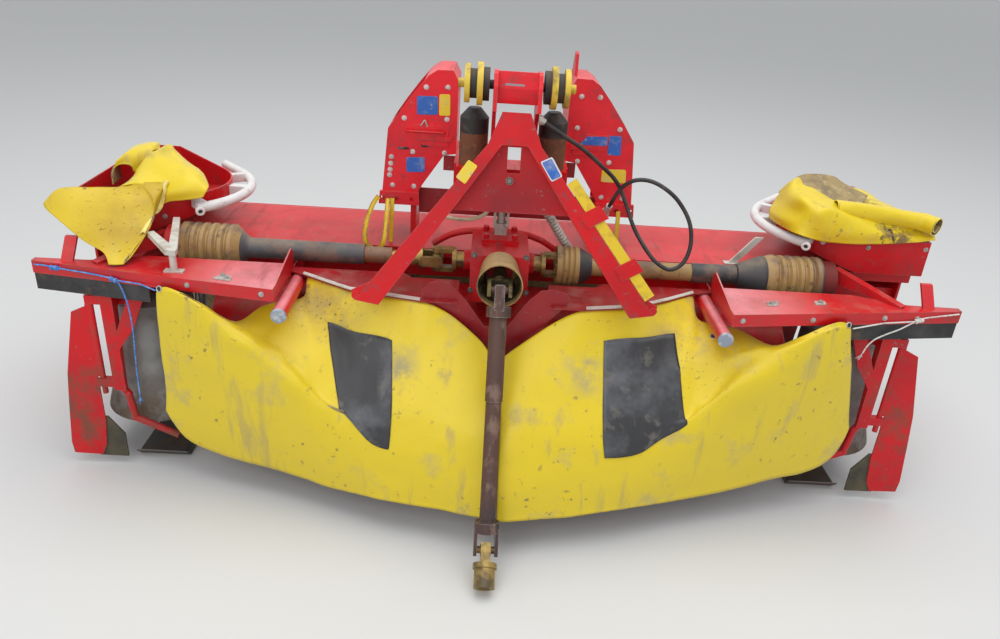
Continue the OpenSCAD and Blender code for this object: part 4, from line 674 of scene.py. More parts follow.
def thick_sheet(name, front, normals, thickness, front_finish, back_finish, body="frame"):
    """A closed thin solid from a front net, with its back a thickness behind."""
    wide, long = front.shape[:2]
    back = front - normals * thickness
    count = wide * long
    faces, kinds = [], []
    for i in range(wide - 1):
        for j in range(long - 1):
            a = i * long + j
            faces += [(a, a + 1, a + long + 1, a + long)]
            faces += [(count + a, count + a + long, count + a + long + 1, count + a + 1)]
            kinds += [0, 1]
    for i in range(wide - 1):
        for a, turn in ((i * long, 1), (i * long + long - 1, -1)):
            faces.append((a, a + long, count + a + long, count + a)[::turn])
            kinds.append(0)
    for j in range(long - 1):
        for a, turn in ((j, -1), ((wide - 1) * long + j, 1)):
            faces.append((a, a + 1, count + a + 1, count + a)[::turn])
            kinds.append(0)
    points = np.concatenate([front.reshape(-1, 3), back.reshape(-1, 3)]).tolist()
    piece = mesh_piece(name, points, faces, (front_finish, back_finish), body, kinds)
    piece.data.polygons.foreach_set("use_smooth", [True] * len(faces))
    piece.data.update()
    piece.data.validate()
    return piece


def hem(net, normals, band, rise):
    """The net with a doubled hem along its lower edge, and a stitch line above it."""
    rows = net.shape[1]
    t = np.linspace(0, 1, rows)
    step = rise * np.clip((t - (1 - band)) * 60, 0, 1) - 0.4 * rise * np.exp(-((t - (1 - band * 0.9)) * 90) ** 2)
    return net + normals * step[None, :, None]


# %% [markdown]
# ## The rear curtains
# Two curtains close the back, clamped under the strips and tied at the outer corners. The
# bundled middle pushes each one out in a ridge and leaves a hollow beside the rail's inner end.
# Each list of numbers below is one column of the net, from the top edge down to the hem.

# %% Curtain nets
def in_metres(columns):
    """Columns of x, y, z, x, y, z, ... in millimetres as columns of points in metres."""
    return np.array(columns, float).reshape(len(columns), -1, 3) / 1000


CURTAIN_LEFT = in_metres([
    [-1080, -300, 742, -1084, -302, 729, -1086, -303, 712, -1088, -304, 664,
     -1096, -298, 543, -1100, -288, 406, -1118, -272, 278],
    [-1049, -306, 753, -1045, -310, 745, -1042, -314, 734, -1043, -320, 654,
     -1046, -312, 517, -1056, -298, 338, -1060, -280, 177],
    [-1000, -314, 739, -991, -321, 733, -983, -328, 723, -977, -338, 642,
     -970, -335, 479, -966, -322, 300, -968, -302, 140],
    [-930, -324, 706, -921, -333, 698, -912, -342, 690, -899, -356, 617,
     -880, -360, 469, -858, -352, 298, -847, -335, 129],
    [-848, -290, 640, -835, -315, 643, -823, -335, 639, -796, -375, 602,
     -772, -388, 456, -745, -385, 296, -720, -372, 123],
    [-784, -215, 662, -767, -265, 636, -749, -320, 601, -707, -390, 541,
     -675, -408, 414, -647, -410, 264, -620, -400, 113],
    [-716, -182, 670, -697, -245, 629, -668, -345, 540, -632, -405, 489,
     -606, -428, 379, -578, -434, 242, -540, -428, 110],
    [-662, -148, 674, -652, -246, 612, -620, -368, 500, -595, -414, 455,
     -572, -436, 362, -543, -445, 232, -505, -440, 111],
    [-650, -118, 734.7, -612, -262, 588, -566, -395, 450, -552, -422, 430,
     -531, -445, 349, -507, -455, 222, -471, -452, 112],
    [-586, -161, 734.7, -546, -275, 582, -494, -410, 423, -482, -432, 400,
     -463, -460, 325, -440, -475, 229, -415, -477, 119],
    [-502, -212, 734.7, -468, -302, 582, -419, -425, 418, -402, -460, 359,
     -387, -482, 288, -370, -495, 208, -350, -500, 125],
    [-385, -241, 734.7, -360, -318, 596, -330, -432, 446, -313, -468, 378,
     -297, -495, 302, -279, -512, 219, -261, -520, 126],
    [-268, -268, 734.7, -247, -338, 596, -223, -440, 458, -209, -480, 384,
     -195, -508, 306, -182, -528, 217, -169, -540, 128],
    [-175, -274, 699, -156, -357, 583, -135, -450, 458, -124, -495, 385,
     -110, -524, 308, -96, -547, 218, -82, -560, 129],
    [-78, -310, 636, -65, -385, 544, -52, -465, 447, -42, -510, 377, -31, -540, 301, -20, -565, 221, -12, -578, 133],
    [-40, -330, 598, -32, -398, 517, -24, -472, 435, -18, -516, 368, -12, -545, 299, -6, -570, 218, -2, -583, 130]])
CURTAIN_RIGHT = in_metres([
    [3, -326, 577, 4, -394, 506, 5, -466, 433, 6, -510, 365, 7, -540, 296, 9, -566, 215, 12, -578, 126],
    [58, -312, 620, 58, -386, 541, 56, -464, 457, 57, -510, 383, 56, -540, 306, 55, -566, 226, 55, -578, 128],
    [170, -274, 691, 170, -357, 588, 166, -448, 468, 163, -495, 394, 159, -524, 316, 156, -548, 233, 151, -560, 127],
    [260, -268, 734.7, 263, -342, 599, 258, -438, 467, 252, -485, 393,
     249, -512, 312, 243, -532, 226, 237, -542, 125],
    [375, -242, 734.7, 379, -320, 595, 368, -428, 459, 362, -475, 385,
     356, -500, 302, 348, -516, 219, 339, -522, 131],
    [472, -205, 734.7, 472, -305, 593, 460, -418, 458, 454, -462, 381,
     445, -486, 297, 435, -500, 212, 422, -502, 135],
    [548, -158, 734.7, 542, -282, 596, 530, -405, 454, 522, -440, 401,
     514, -466, 318, 506, -478, 223, 496, -478, 132],
    [638, -97, 734.7, 620, -262, 608, 610, -395, 453, 599, -425, 426, 589, -446, 339, 577, -456, 235, 565, -452, 128],
    [660, -150, 672, 656, -262, 612, 650, -380, 490, 640, -414, 462, 632, -436, 370, 622, -444, 256, 613, -438, 129],
    [716, -182, 668, 706, -268, 629, 696, -368, 522, 680, -405, 501, 674, -425, 400, 668, -430, 277, 662, -422, 130],
    [783, -215, 672, 776, -275, 650, 773, -335, 606, 754, -392, 557, 753, -406, 438, 753, -406, 300, 753, -394, 134],
    [873, -290, 657, 860, -320, 661, 850, -350, 648, 843, -384, 587, 848, -388, 462, 857, -382, 318, 865, -366, 149],
    [944, -320, 706, 939, -335, 700, 934, -350, 689, 939, -364, 618, 955, -362, 479, 971, -350, 334, 988, -330, 163],
    [1010, -312, 741, 1007, -322, 732, 1003, -332, 720, 1014, -340, 652,
     1044, -336, 506, 1072, -322, 353, 1101, -300, 177],
    [1069, -304, 759, 1069, -308, 750, 1071, -314, 736, 1087, -318, 667,
     1122, -312, 535, 1156, -300, 392, 1185, -280, 239],
    [1108, -296, 743, 1109, -298, 737, 1112, -300, 724, 1124, -300, 678,
     1149, -296, 584, 1180, -288, 465, 1214, -272, 344]])
CREASES_LEFT = [
    ((-0.86, -0.372, 0.615), (-0.641, -0.334, 0.535), 0.014, 0.011),
    ((-0.531, -0.212, 0.697), (-0.6, -0.31, 0.59), 0.013, 0.01),
    ((-0.25, -0.305, 0.67), (-0.33, -0.33, 0.5), 0.013, 0.009),
    ((-0.83, -0.345, 0.7), (-0.74, -0.33, 0.46), 0.018, 0.006),
    ((-0.56, -0.3, 0.7), (-0.6, -0.33, 0.33), 0.022, 0.007),
    ((-0.93, -0.34, 0.6), (-0.7, -0.35, 0.38), 0.012, -0.005),
    ((-0.33, -0.3, 0.7), (-0.25, -0.33, 0.4), 0.016, -0.005)]
CREASES_RIGHT = [
    ((0.54, -0.313, 0.548), (0.717, -0.306, 0.598), 0.013, 0.011),
    ((0.717, -0.306, 0.598), (0.85, -0.32, 0.66), 0.013, 0.011),
    ((0.32, -0.3, 0.68), (0.47, -0.34, 0.69), 0.012, 0.005),
    ((0.47, -0.34, 0.69), (0.62, -0.34, 0.735), 0.012, 0.005),
    ((0.56, -0.33, 0.7), (0.64, -0.34, 0.38), 0.02, 0.007),
    ((0.8, -0.33, 0.72), (0.76, -0.34, 0.38), 0.016, -0.006),
    ((0.9, -0.33, 0.5), (0.64, -0.35, 0.36), 0.012, 0.004)]

# %% Curtains
CLOTH_THICKNESS, HEM_SHARE, HEM_RISE = 0.004, 0.035, 0.0016


def point_on(net, u, v):
    """The point of a fine net at column u and row v, with fractions between its points."""
    i, j = min(int(u), net.shape[0] - 2), min(int(v), net.shape[1] - 2)
    s, t = u - i, v - j
    return (1 - s) * ((1 - t) * net[i, j] + t * net[i, j + 1]) + s * ((1 - t) * net[i + 1, j] + t * net[i + 1, j + 1])


def cloth_piece(name, columns, across, down, body, replaced=None, ripple=0.0, lines=(), face=yellow_cloth):
    """A cloth from a coarse net: fine net, ripples, fold lines, hem, thickness, finish and body."""
    net = dense_net(columns, across, down)
    if ripple:
        net = rippled(net, outward(net), ripple, 9.0, len(name))
    if lines:
        net = folded(net, outward(net), lines)
    normals = outward(net)
    front = hem(net, normals, HEM_SHARE, HEM_RISE)
    piece = thick_sheet(name, front, normals, CLOTH_THICKNESS, face, cloth_back, body)
    if replaced:
        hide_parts(replaced)
    return piece, net, normals


def patch(name, net, normals, corners, steps=28, corner_round=0.03, lift=0.0032, thickness=0.0022):
    """A rubber patch glued on a cloth, with rounded corners; its corners are (column, row)."""
    grid = []
    for i in range(steps + 1):
        column = []
        for j in range(steps + 1):
            s, t = i / steps, j / steps
            pull = corner_round * (2 * s - 1) ** 4 * (2 * t - 1) ** 4
            s, t = s + pull * (0.5 - s), t + pull * (0.5 - t)
            top = (1 - s) * np.array(corners[0]) + s * np.array(corners[1])
            low = (1 - s) * np.array(corners[3]) + s * np.array(corners[2])
            u, v = (1 - t) * top + t * low
            column.append(point_on(net, u, v) + lift * point_on(normals, u, v))
        grid.append(column)
    grid = rippled(np.array(grid), outward(np.array(grid)), 0.0022, 16.0, len(name))
    return thick_sheet(name, grid, outward(grid), thickness, patch_rubber, patch_rubber)


def lathe(at, direction, profile, sides, closed=True, lumps=0.0):
    """Points and faces of a profile of (radius, height) points that is turned about an axis."""
    turn, count = Vector(direction).normalized().to_track_quat("Z", "Y"), len(profile)
    verts, faces = [], []
    for k in range(sides):
        angle = 2 * math.pi * k / sides
        for c, (r, h) in enumerate(profile):
            r *= 1 + lumps * (math.sin(5 * angle + 0.9 * c) + 0.6 * math.sin(11 * angle + 2.3 * c))
            verts.append(Vector(at) + turn @ Vector((r * math.cos(angle), r * math.sin(angle), h)))
        here, after = k * count, (k + 1) % sides * count
        for c in range(count if closed else count - 1):
            d = (c + 1) % count
            faces.append((here + c, here + d, after + d, after + c))
    return verts, faces


def eyelet(name, net, normals, u, v, radius):
    """A brass ring in a cloth, with a black disc in its hole as painted shade."""
    profile = [(0.0, 0.0006), (0.62, 0.0006), (0.62, 0.0012), (0.78, 0.0022), (0.94, 0.0018), (1.0, 0.0)]
    verts, faces = lathe(point_on(net, u, v), point_on(normals, u, v), [(r * radius, h) for r, h in profile], 24,
                         closed=False)
    kinds = [0 if i % (len(profile) - 1) == 0 else 1 for i in range(len(faces))]
    return mesh_piece(name, verts, faces, (black_rubber, galvanised), kinds=kinds)


curtain_left, net_left, normals_left = cloth_piece(
    "curtain_left_cloth", CURTAIN_LEFT, 5, 7, "frame", "curtain_left", 0.004, CREASES_LEFT, curtain_cloth)
curtain_right, net_right, normals_right = cloth_piece(
    "curtain_right_cloth", CURTAIN_RIGHT, 5, 7, "frame", "curtain_right", 0.004, CREASES_RIGHT, curtain_cloth)
patch_left = patch("curtain_patch_left", net_left, normals_left, [(44.2, 4.9), (55.7, 6.0), (53.0, 26.6), (43.7, 20.3)])
patch_right = patch("curtain_patch_right", net_right, normals_right,
                    [(17.5, 4.5), (31.5, 4.5), (36.0, 21.7), (19.0, 26.2)])
eyelets_left = [eyelet("curtain_eyelet_left", net_left, normals_left, 1.6, 2.0, 0.011)]
eyelets_right = [eyelet("curtain_eyelet_right", net_right, normals_right, 73.4, 2.0, 0.011),
                 eyelet("curtain_eyelet_middle", net_right, normals_right, 44.0, 4.5, 0.012)]


# %% [markdown]
# ## The front cloth
# The front guard's cloth starts at the hinge, runs under the bar and hangs in shallow folds
# that grow toward its hem. Nothing else touches it, so a formula gives its folds.

# %% Front cloth
FRONT_PROFILE = [(0.7065, 0.679), (0.738, 0.64), (0.769, 0.594), (0.783, 0.5835), (0.793, 0.572),
                 (0.7965, 0.5), (0.797, 0.38), (0.797, 0.25), (0.797, 0.133)]
CLOTH_HALF, COLUMNS, BAR_Z, HANG = 1.405, 48, 0.585, 0.45
front_columns = []
for i in range(COLUMNS):
    x = CLOTH_HALF - 2 * CLOTH_HALF * i / (COLUMNS - 1)
    column = []
    for y, z in FRONT_PROFILE:
        loose = max(0.0, (BAR_Z - z) / HANG)
        wave = math.sin(5.1 * x + 0.6 * math.sin(3.3 * x)) + 0.35 * math.sin(13.7 * x + 1.1)
        column.append((x + 0.004 * loose * math.sin(7 * x), y + 0.009 * loose * wave, z))
    front_columns.append(column)
front_cloth, net_front, _ = cloth_piece("front_guard_cloth", front_columns, 3, 5, "front_guard_body", "front_cloth",
                                        ripple=0.002)

# %% [markdown]
# ## The cloths on the side guards
# Each side guard folds up for the road, so its cloth lies in a heap on the folded tray. On the
# left one corner hangs down to the deck like a bell and the back stands up in an arch. On the
# right the brown underside shows where the cloth is turned over, and its edge is rolled up.
# The folds were read from the photo as nets, each column from the back to the front hem.

# %% Nets of the folded cloths
BELL_LEFT = in_metres([
    [-1487, -110, 934, -1479, -118, 919, -1432, -142, 892, -1343, -182, 841, -1272, -212, 819, -1248, -238, 788],
    [-1436, -92, 980, -1416, -112, 939, -1371, -140, 895, -1299, -178, 851, -1252, -208, 818, -1237, -238, 788],
    [-1353, -44, 974, -1324, -88, 946, -1280, -122, 903, -1243, -164, 854, -1226, -198, 816, -1225, -236, 788],
    [-1285, -4, 967, -1245, -62, 952, -1210, -96, 908, -1197, -146, 860, -1202, -190, 824, -1213, -233, 788],
    [-1226, 2, 982, -1175, -48, 942, -1161, -84, 898, -1160, -130, 868, -1179, -176, 834, -1205, -229, 788],
    [-1213, 6, 985, -1162, -44, 951, -1155, -78, 901, -1157, -122, 866, -1178, -170, 831, -1205, -226, 788],
    [-1132, 10, 989, -1144, -10, 961, -1156, -26, 922, -1157, -90, 890, -1167, -156, 851, -1205, -224, 789]])
HEAP_LEFT = in_metres([
    [-1450, 500, 942, -1400, 330, 985, -1275, 170, 1006, -1276, 130, 990,
     -1276, 90, 976, -1280, 40, 969, -1287, 10, 965, -1288, 2, 964],
    [-1415, 505, 946, -1355, 330, 1000, -1244, 170, 1050, -1246, 140, 1026,
     -1240, 100, 1005, -1225, 40, 994, -1222, 4, 985, -1227, 2, 975],
    [-1380, 505, 947, -1305, 330, 1004, -1236, 180, 1040, -1206, 140, 1041,
     -1177, 80, 1020, -1136, 14, 987, -1143, -8, 956, -1160, -4, 923],
    [-1350, 505, 945, -1262, 330, 998, -1179, 180, 1070, -1163, 140, 1046,
     -1122, 70, 1021, -1104, 12, 998, -1114, -10, 963, -1124, -4, 929],
    [-1322, 503, 942, -1226, 330, 984, -1165, 190, 1050, -1135, 140, 1040,
     -1084, 70, 1023, -1067, 14, 1004, -1076, -10, 969, -1087, -4, 935],
    [-1297, 500, 939, -1194, 330, 966, -1139, 200, 1017, -1107, 150, 1019,
     -1056, 80, 1012, -1035, 20, 1002, -1036, -4, 975, -1049, -4, 941],
    [-1272, 495, 937, -1168, 330, 950, -1119, 230, 981, -1084, 160, 998,
     -1037, 90, 996, -1006, 36, 979, -1002, 6, 971, -1014, 0, 949]])
ARCH_LEFT = in_metres([
    [-1452, 340, 936, -1375, 215, 936, -1363, 125, 936, -1362, 118, 936],
    [-1440, 330, 955, -1377, 225, 985, -1365, 135, 981, -1362, 125, 966],
    [-1420, 320, 972, -1345, 240, 1026, -1345, 150, 1022, -1353, 135, 992],
    [-1390, 310, 985, -1317, 255, 1043, -1317, 165, 1039, -1333, 145, 1000],
    [-1350, 300, 998, -1276, 265, 1052, -1276, 175, 1048, -1307, 150, 994],
    [-1300, 300, 1006, -1249, 270, 1051, -1249, 180, 1047, -1299, 155, 971],
    [-1240, 310, 1010, -1236, 240, 1035, -1242, 180, 1040, -1268, 165, 995]])
HEAP_RIGHT = in_metres([
    [1250, 600, 945, 1140, 400, 985, 1020, 300, 998, 1007, 280, 993,
     986, 260, 972, 962, 220, 961, 953, 200, 951, 951, 180, 934],
    [1262, 620, 946, 1165, 410, 990, 1043, 250, 1068, 1001, 190, 1045,
     983, 160, 1012, 965, 120, 984, 953, 100, 960, 963, 90, 934],
    [1275, 630, 946, 1190, 420, 988, 1083, 250, 1054, 1032, 160, 1050,
     997, 60, 1050, 1000, 40, 1008, 996, 20, 972, 1001, -4, 937],
    [1290, 635, 946, 1215, 425, 983, 1126, 240, 1043, 1067, 130, 1054,
     1053, 40, 1042, 1039, -8, 1026, 1049, -14, 974, 1065, -4, 923],
    [1305, 640, 945, 1245, 430, 975, 1170, 230, 1021, 1105, 110, 1038,
     1096, 30, 1035, 1090, -2, 1029, 1113, -12, 964, 1133, -4, 917],
    [1325, 640, 944, 1280, 430, 968, 1227, 220, 995, 1147, 90, 1028,
     1160, 40, 1017, 1162, 8, 1002, 1182, -8, 956, 1199, -4, 917],
    [1350, 640, 942, 1325, 430, 962, 1302, 230, 973, 1243, 110, 1009,
     1246, 50, 1000, 1242, 18, 982, 1250, -4, 956, 1264, -4, 921],
    [1390, 640, 941, 1380, 430, 956, 1416, 240, 953, 1352, 120, 991,
     1328, 55, 990, 1325, 24, 969, 1324, 0, 951, 1335, -4, 927],
    [1430, 630, 940, 1430, 420, 950, 1440, 120, 979, 1439, 120, 980,
     1417, 60, 978, 1407, 28, 959, 1398, 4, 949, 1404, -4, 935],
    [1474, 600, 939, 1478, 400, 946, 1491, 75, 980, 1481, 60, 987,
     1486, 60, 971, 1475, 30, 957, 1468, 8, 954, 1469, 0, 945]])
UNDERSIDE_RIGHT = in_metres([
    [1042, 250, 1070, 1047, 225, 1059, 1052, 190, 1053, 1061, 170, 1052],
    [1086, 262, 1082, 1089, 232, 1070, 1093, 190, 1059, 1100, 140, 1039],
    [1179, 262, 1079, 1175, 225, 1061, 1168, 180, 1042, 1160, 120, 1020],
    [1229, 250, 1054, 1228, 215, 1046, 1224, 170, 1032, 1207, 120, 1020],
    [1303, 215, 1027, 1288, 190, 1023, 1269, 160, 1019, 1252, 135, 1014]])

# %% Guard cloths
bell_left, net_bell, normals_bell = cloth_piece("guard_flap_left", BELL_LEFT, 6, 6, "side_guard_left",
                                                "guard_cloth_left", 0.002, face=bell_cloth)
heap_left, net_heap_left, _ = cloth_piece("guard_heap_left", HEAP_LEFT, 6, 6, "side_guard_left", ripple=0.005)
arch_left, net_arch, _ = cloth_piece("guard_arch_left", ARCH_LEFT, 6, 8, "side_guard_left", ripple=0.003)
heap_right, net_heap_right, _ = cloth_piece("guard_heap_right", HEAP_RIGHT, 6, 6, "side_guard_right",
                                            "guard_cloth_right", 0.005, face=stained_cloth)
underside_right, net_underside, _ = cloth_piece("guard_underside_right", UNDERSIDE_RIGHT, 6, 6, "side_guard_right",
                                                ripple=0.003, face=cloth_back)

# %% [markdown]
# The left bell ends in a stiff rim that curls forward. It could be one more row of the bell's
# net, but as a strip of its own it can have a brighter colour: a painted highlight along the lip.

# %% The bell's rim
def curled_edge(name, edge, inner, normals, size, body):
    """A stiff hem that curls forward over a cloth's edge."""
    sideways = (edge - inner) / np.linalg.norm(edge - inner, axis=1, keepdims=True)
    curl = [(0.0, 0.1), (0.5, 0.4), (0.55, 0.9), (0.0, 1.35), (-0.7, 1.2)]
    net = np.array([edge + size * (s * sideways + up_by * normals) for s, up_by in curl])
    return thick_sheet(name, net, outward(net), 0.0035, rim_cloth_painted_highlight, rim_cloth_painted_highlight, body)


bell_rim = curled_edge("guard_flap_rim_left", net_bell[-1, :-7], net_bell[-4, :-7], normals_bell[-1, :-7], 0.008,
                       "side_guard_left")


# %% The rolled edge on the right guard
def roll_net(route, outer, turns, gap, across, along):
    """A net for a cloth rolled up along a route: columns run along it, rows wind inwards."""
    line = smooth_route(route, across)
    columns = []
    for i, centre in enumerate(line):
        t = i / (len(line) - 1)
        axis = Vector(line[min(i + 1, len(line) - 1)] - line[max(i - 1, 0)]).normalized()
        side = axis.cross(Vector((0, 0, 1))).normalized()
        top = side.cross(axis)
        squash = 0.92 + 0.05 * math.sin(7 * t + 0.5)
        column = []
        for j in range(along + 1):
            angle = 0.9 - 2 * math.pi * turns * j / along
            radius = outer - gap * turns * j / along
            column.append(Vector(centre) + radius * (side * math.cos(angle) + top * squash * math.sin(angle)))
        columns.append(column)
    return np.array(columns, float)


net_roll = roll_net([(1.128, 0.068, 1.018), (1.24, 0.064, 1.011), (1.35, 0.055, 1.003), (1.425, 0.034, 1.0),
                     (1.458, -0.006, 0.997)], outer=0.04, turns=1.6, gap=0.012, across=14, along=72)
roll_normals = outward(net_roll)
if np.mean(np.sum(roll_normals[:, :20] * (net_roll[:, :20] - net_roll.mean(axis=1, keepdims=True)), axis=2)) < 0:
    net_roll = net_roll[::-1]
    roll_normals = outward(net_roll)
net_roll = rippled(net_roll, roll_normals, 0.0022, 26.0, 4)
roll_right = thick_sheet("guard_roll_right", net_roll, outward(net_roll), 0.003, yellow_cloth, cloth_back,
                         "side_guard_right")

# %% [markdown]
# ## Stickers without words
# The machine carries coloured stickers. They keep their place, size and colour here, and stay
# blank: a rounded plate of thin film with a slightly lower rim. A flat square on a plane could
# have been enough, but the rim catches light as a real sticker does.

# %% Sticker finishes
def film(name, colour):
    """A sticker's printed film, rubbed and dusty."""
    return finish(name, colour, 0.42, bumps=[(120, 0.05, 0.001)], layers=[
        (tuple(0.55 * c + 0.25 for c in colour), 0.55, 0.0, 0.6, [("noise", 28.0, 0.5, 0.66)]),
        spots((0.5, 0.42, 0.36), 0.7, 0.6, 60, 0.62, 0.68)])


film_blue = film("film_blue", (0.025, 0.13, 0.5))
film_yellow = film("film_yellow", (0.85, 0.62, 0.03))
film_white = film("film_white", (0.72, 0.72, 0.72))
film_grey = film("film_grey", (0.34, 0.34, 0.37))


FILM_LIFT = 0.0009


def sticker(name, corners, material, body="frame", rounding=0.12, lift=FILM_LIFT):
    """A thin rounded plate on a flat face, from its corners in order."""
    points = [Vector(corner) for corner in corners]
    middle = sum(points, Vector()) / len(points)
    normal = (points[1] - points[0]).cross(points[2] - points[1]).normalized()
    if normal.dot(CAMERA_AT - middle) < 0:
        normal.negate()
    outline = []
    for i, corner in enumerate(points):
        before, after = points[i - 1], points[(i + 1) % len(points)]
        for k in range(5):
            t = k / 4
            a, b = corner.lerp(before, rounding * (1 - t)), corner.lerp(after, rounding * t)
            outline.append(a.lerp(b, t) if 0 < t < 1 else (a if t == 0 else b))
    rings = [(1.0, 0.0), (1.0, 0.55 * lift), (0.97, lift), (0.9, lift)]
    verts = [middle + (p - middle) * size + normal * up_by for size, up_by in rings for p in outline]
    count = len(outline)
    faces = [(r * count + i, r * count + (i + 1) % count, (r + 1) * count + (i + 1) % count, (r + 1) * count + i)
             for r in range(len(rings) - 1) for i in range(count)]
    faces.append(tuple((len(rings) - 1) * count + i for i in range(count)))
    return mesh_piece(name, verts, faces, [material], body)


# %% Stickers on the towers, the triangle and the top bracket
TOWER_FACE, COVER_FACE = 0.1466, 0.1416


def on_tower(places, y=TOWER_FACE):
    """Corners on a tower's rear face, from (x, z)."""
    return [(x, y, z) for x, z in places]


TOWER_STICKERS = [
    ("sticker_upper_blue_left", [(-0.324, 1.294), (-0.254, 1.296), (-0.252, 1.235), (-0.322, 1.232)], film_blue),
    ("sticker_yellow_left", [(-0.249, 1.303), (-0.213, 1.305), (-0.211, 1.234), (-0.248, 1.233)], film_yellow),
    ("sticker_lower_blue_left", [(-0.357, 1.084), (-0.293, 1.088), (-0.292, 1.036), (-0.356, 1.032)], film_blue),
    ("sticker_blue_right", [(0.333, 1.2), (0.374, 1.201), (0.38, 1.134), (0.333, 1.134)], film_blue),
    ("sticker_yellow_right", [(0.322, 1.083), (0.405, 1.086), (0.409, 1.038), (0.322, 1.038)], film_yellow)]
for name, places, material in TOWER_STICKERS:
    sticker(name, on_tower(places), material)
sticker("sticker_blue_cover_right",
        on_tower([(0.232, 1.166), (0.258, 1.195), (0.327, 1.197), (0.327, 1.165)], COVER_FACE), film_blue)


def on_leg(places):
    """Corners on the triangle's leaning face, just proud of it."""
    foot_y, foot_z, lean = -0.3354, 0.745, math.radians(13)
    return [(x, (z - foot_z) * math.tan(lean) + foot_y, z) for x, z in places]


sticker("sticker_leg_yellow", on_leg([(-0.135, 1.19), (-0.107, 1.173), (-0.142, 1.119), (-0.171, 1.138)]), film_yellow)
sticker("sticker_leg_white", on_leg([(0.078, 1.195), (0.113, 1.212), (0.148, 1.158), (0.116, 1.14)]), film_white)
sticker("sticker_leg_blue", [(x, y - FILM_LIFT, z) for x, y, z in
                             on_leg([(0.083, 1.194), (0.111, 1.207), (0.143, 1.158), (0.117, 1.145)])], film_blue)
sticker("plate_top_bracket", [(-0.04, -0.1468, 1.402), (0.02, -0.1468, 1.402), (0.02, -0.1443, 1.386),
                              (-0.04, -0.1443, 1.386)], film_grey)

# %% [markdown]
# ## Bolts, screws and plates
# A bolt is a washer, a chamfered hexagon and the thread's end. All bolts of one body and finish
# are one mesh, as that is lighter than an object each. The towers' screws are painted white.

# %% Bolts
white_screw = finish("white_screw", (0.66, 0.62, 0.6), 0.45, bumps=[(150, 0.08, 0.001)], layers=[
    spots((0.35, 0.1, 0.09), 0.6, 0.7, 60, 0.55, 0.62),
    spots((0.25, 0.18, 0.14), 0.8, 0.6, 35, 0.52, 0.64)])


def bolts(name, places, size, material, body, thread=True):
    """Bolt heads at (point, outward direction); size is the width across their flats."""
    verts, faces, washer, corner = [], [], 0.0016, 0.577 * size

    def drum(at, turn, sides, profile, angle0=0.0):
        base = len(verts)
        for r, h in profile:
            for k in range(sides):
                angle = angle0 + 2 * math.pi * k / sides
                verts.append(Vector(at) + turn @ Vector((r * math.cos(angle), r * math.sin(angle), h)))
        for row in range(len(profile) - 1):
            for k in range(sides):
                a, b = base + row * sides + k, base + row * sides + (k + 1) % sides
                faces.append((a, b, b + sides, a + sides))
        top = base + (len(profile) - 1) * sides
        faces.append(tuple(top + k for k in range(sides)))

    for i, (at, direction) in enumerate(places):
        turn = Vector(direction).normalized().to_track_quat("Z", "Y")
        drum(at, turn, 20, [(0.98 * size, -0.0005), (size, washer / 2), (0.96 * size, washer)])
        drum(at, turn, 6, [(corner, washer), (corner, washer + 0.4 * size), (0.49 * size, washer + 0.5 * size)],
             0.7 * i)
        if thread:
            drum(at, turn, 12, [(0.26 * size, 0.5 * size), (0.26 * size, 0.5 * size + 0.003),
                                (0.2 * size, 0.5 * size + 0.005)])
    mesh_piece(name, verts, faces, [material], body)
    print(name, len(places))


REAR, TOP, RAIL_LEFT_WAY, RAIL_RIGHT_WAY = (0, -1, 0), (0, 0, 1), (-0.15, -0.99, 0), (0.15, -0.99, 0)
TOWER_SCREWS = [(-0.293, 1.324), (-0.221, 1.327), (-0.365, 1.218), (-0.221, 1.222), (-0.335, 1.105),
                (-0.226, 1.107), (-0.408, 1.083), (-0.41, 1.06), (-0.412, 1.038), (-0.414, 1.019),
                (-0.404, 0.983), (-0.33, 0.983), (0.225, 1.325), (0.287, 1.326), (0.221, 1.22),
                (0.366, 1.223), (0.233, 1.106), (0.342, 1.108), (0.404, 0.983), (0.33, 0.983)]
SCREW_FACE = 0.1468
bolts("tower_screws", [((x, SCREW_FACE, z), REAR) for x, z in TOWER_SCREWS], 0.0088, white_screw, "frame",
      thread=False)
RAIL_BOLTS = [(-0.987, -0.2982, 0.76), (-0.749, -0.3352, 0.76), (0.7455, -0.3358, 0.759), (0.981, -0.2991, 0.758),
              (1.229, -0.2604, 0.761), (1.345, -0.2424, 0.757)]
bolts("rail_bolts", [(at, RAIL_LEFT_WAY if at[0] < 0 else RAIL_RIGHT_WAY) for at in RAIL_BOLTS], 0.009, galvanised,
      "frame")
GEARBOX_BOLTS = [(-0.104, 0.866), (0.064, 0.866), (-0.112, 0.741), (0.072, 0.741)]
bolts("gearbox_bolts", [((x, -0.1752, z), REAR) for x, z in GEARBOX_BOLTS], 0.01, bare_steel, "frame")
bolts("web_bolt", [((-0.009, -0.2195, 1.128), (0, -0.97, 0.22))], 0.012, bare_steel, "frame")
bolts("tray_bolts_right", [((1.107, 0.0462, 0.899), (-0.54, -0.84, 0)), ((1.2516, 0.0098, 0.901), REAR),
                           ((1.452, 0.0098, 0.906), REAR)], 0.0085, galvanised, "side_guard_right")
bolts("tray_bolts_left", [((-1.159, 0.0213, 0.865), (0.24, -0.97, 0)), ((-1.3, 0.0098, 0.901), REAR),
                          ((-1.452, 0.0098, 0.906), REAR)], 0.0085, galvanised, "side_guard_left")

# %% [markdown]
# ## Bands, pipes and brackets
# A stiff yellow band loops from the left tower's flange, and two straight yellow straps stand
# beside the towers. A cream pipe bends down behind the triangle, a red tube arches over the
# gearbox, and plates close the beam's ends and cross behind the web. Each is a section swept
# along a few points; a curve's bevel could do that too, but flat bands keep their edges this way.

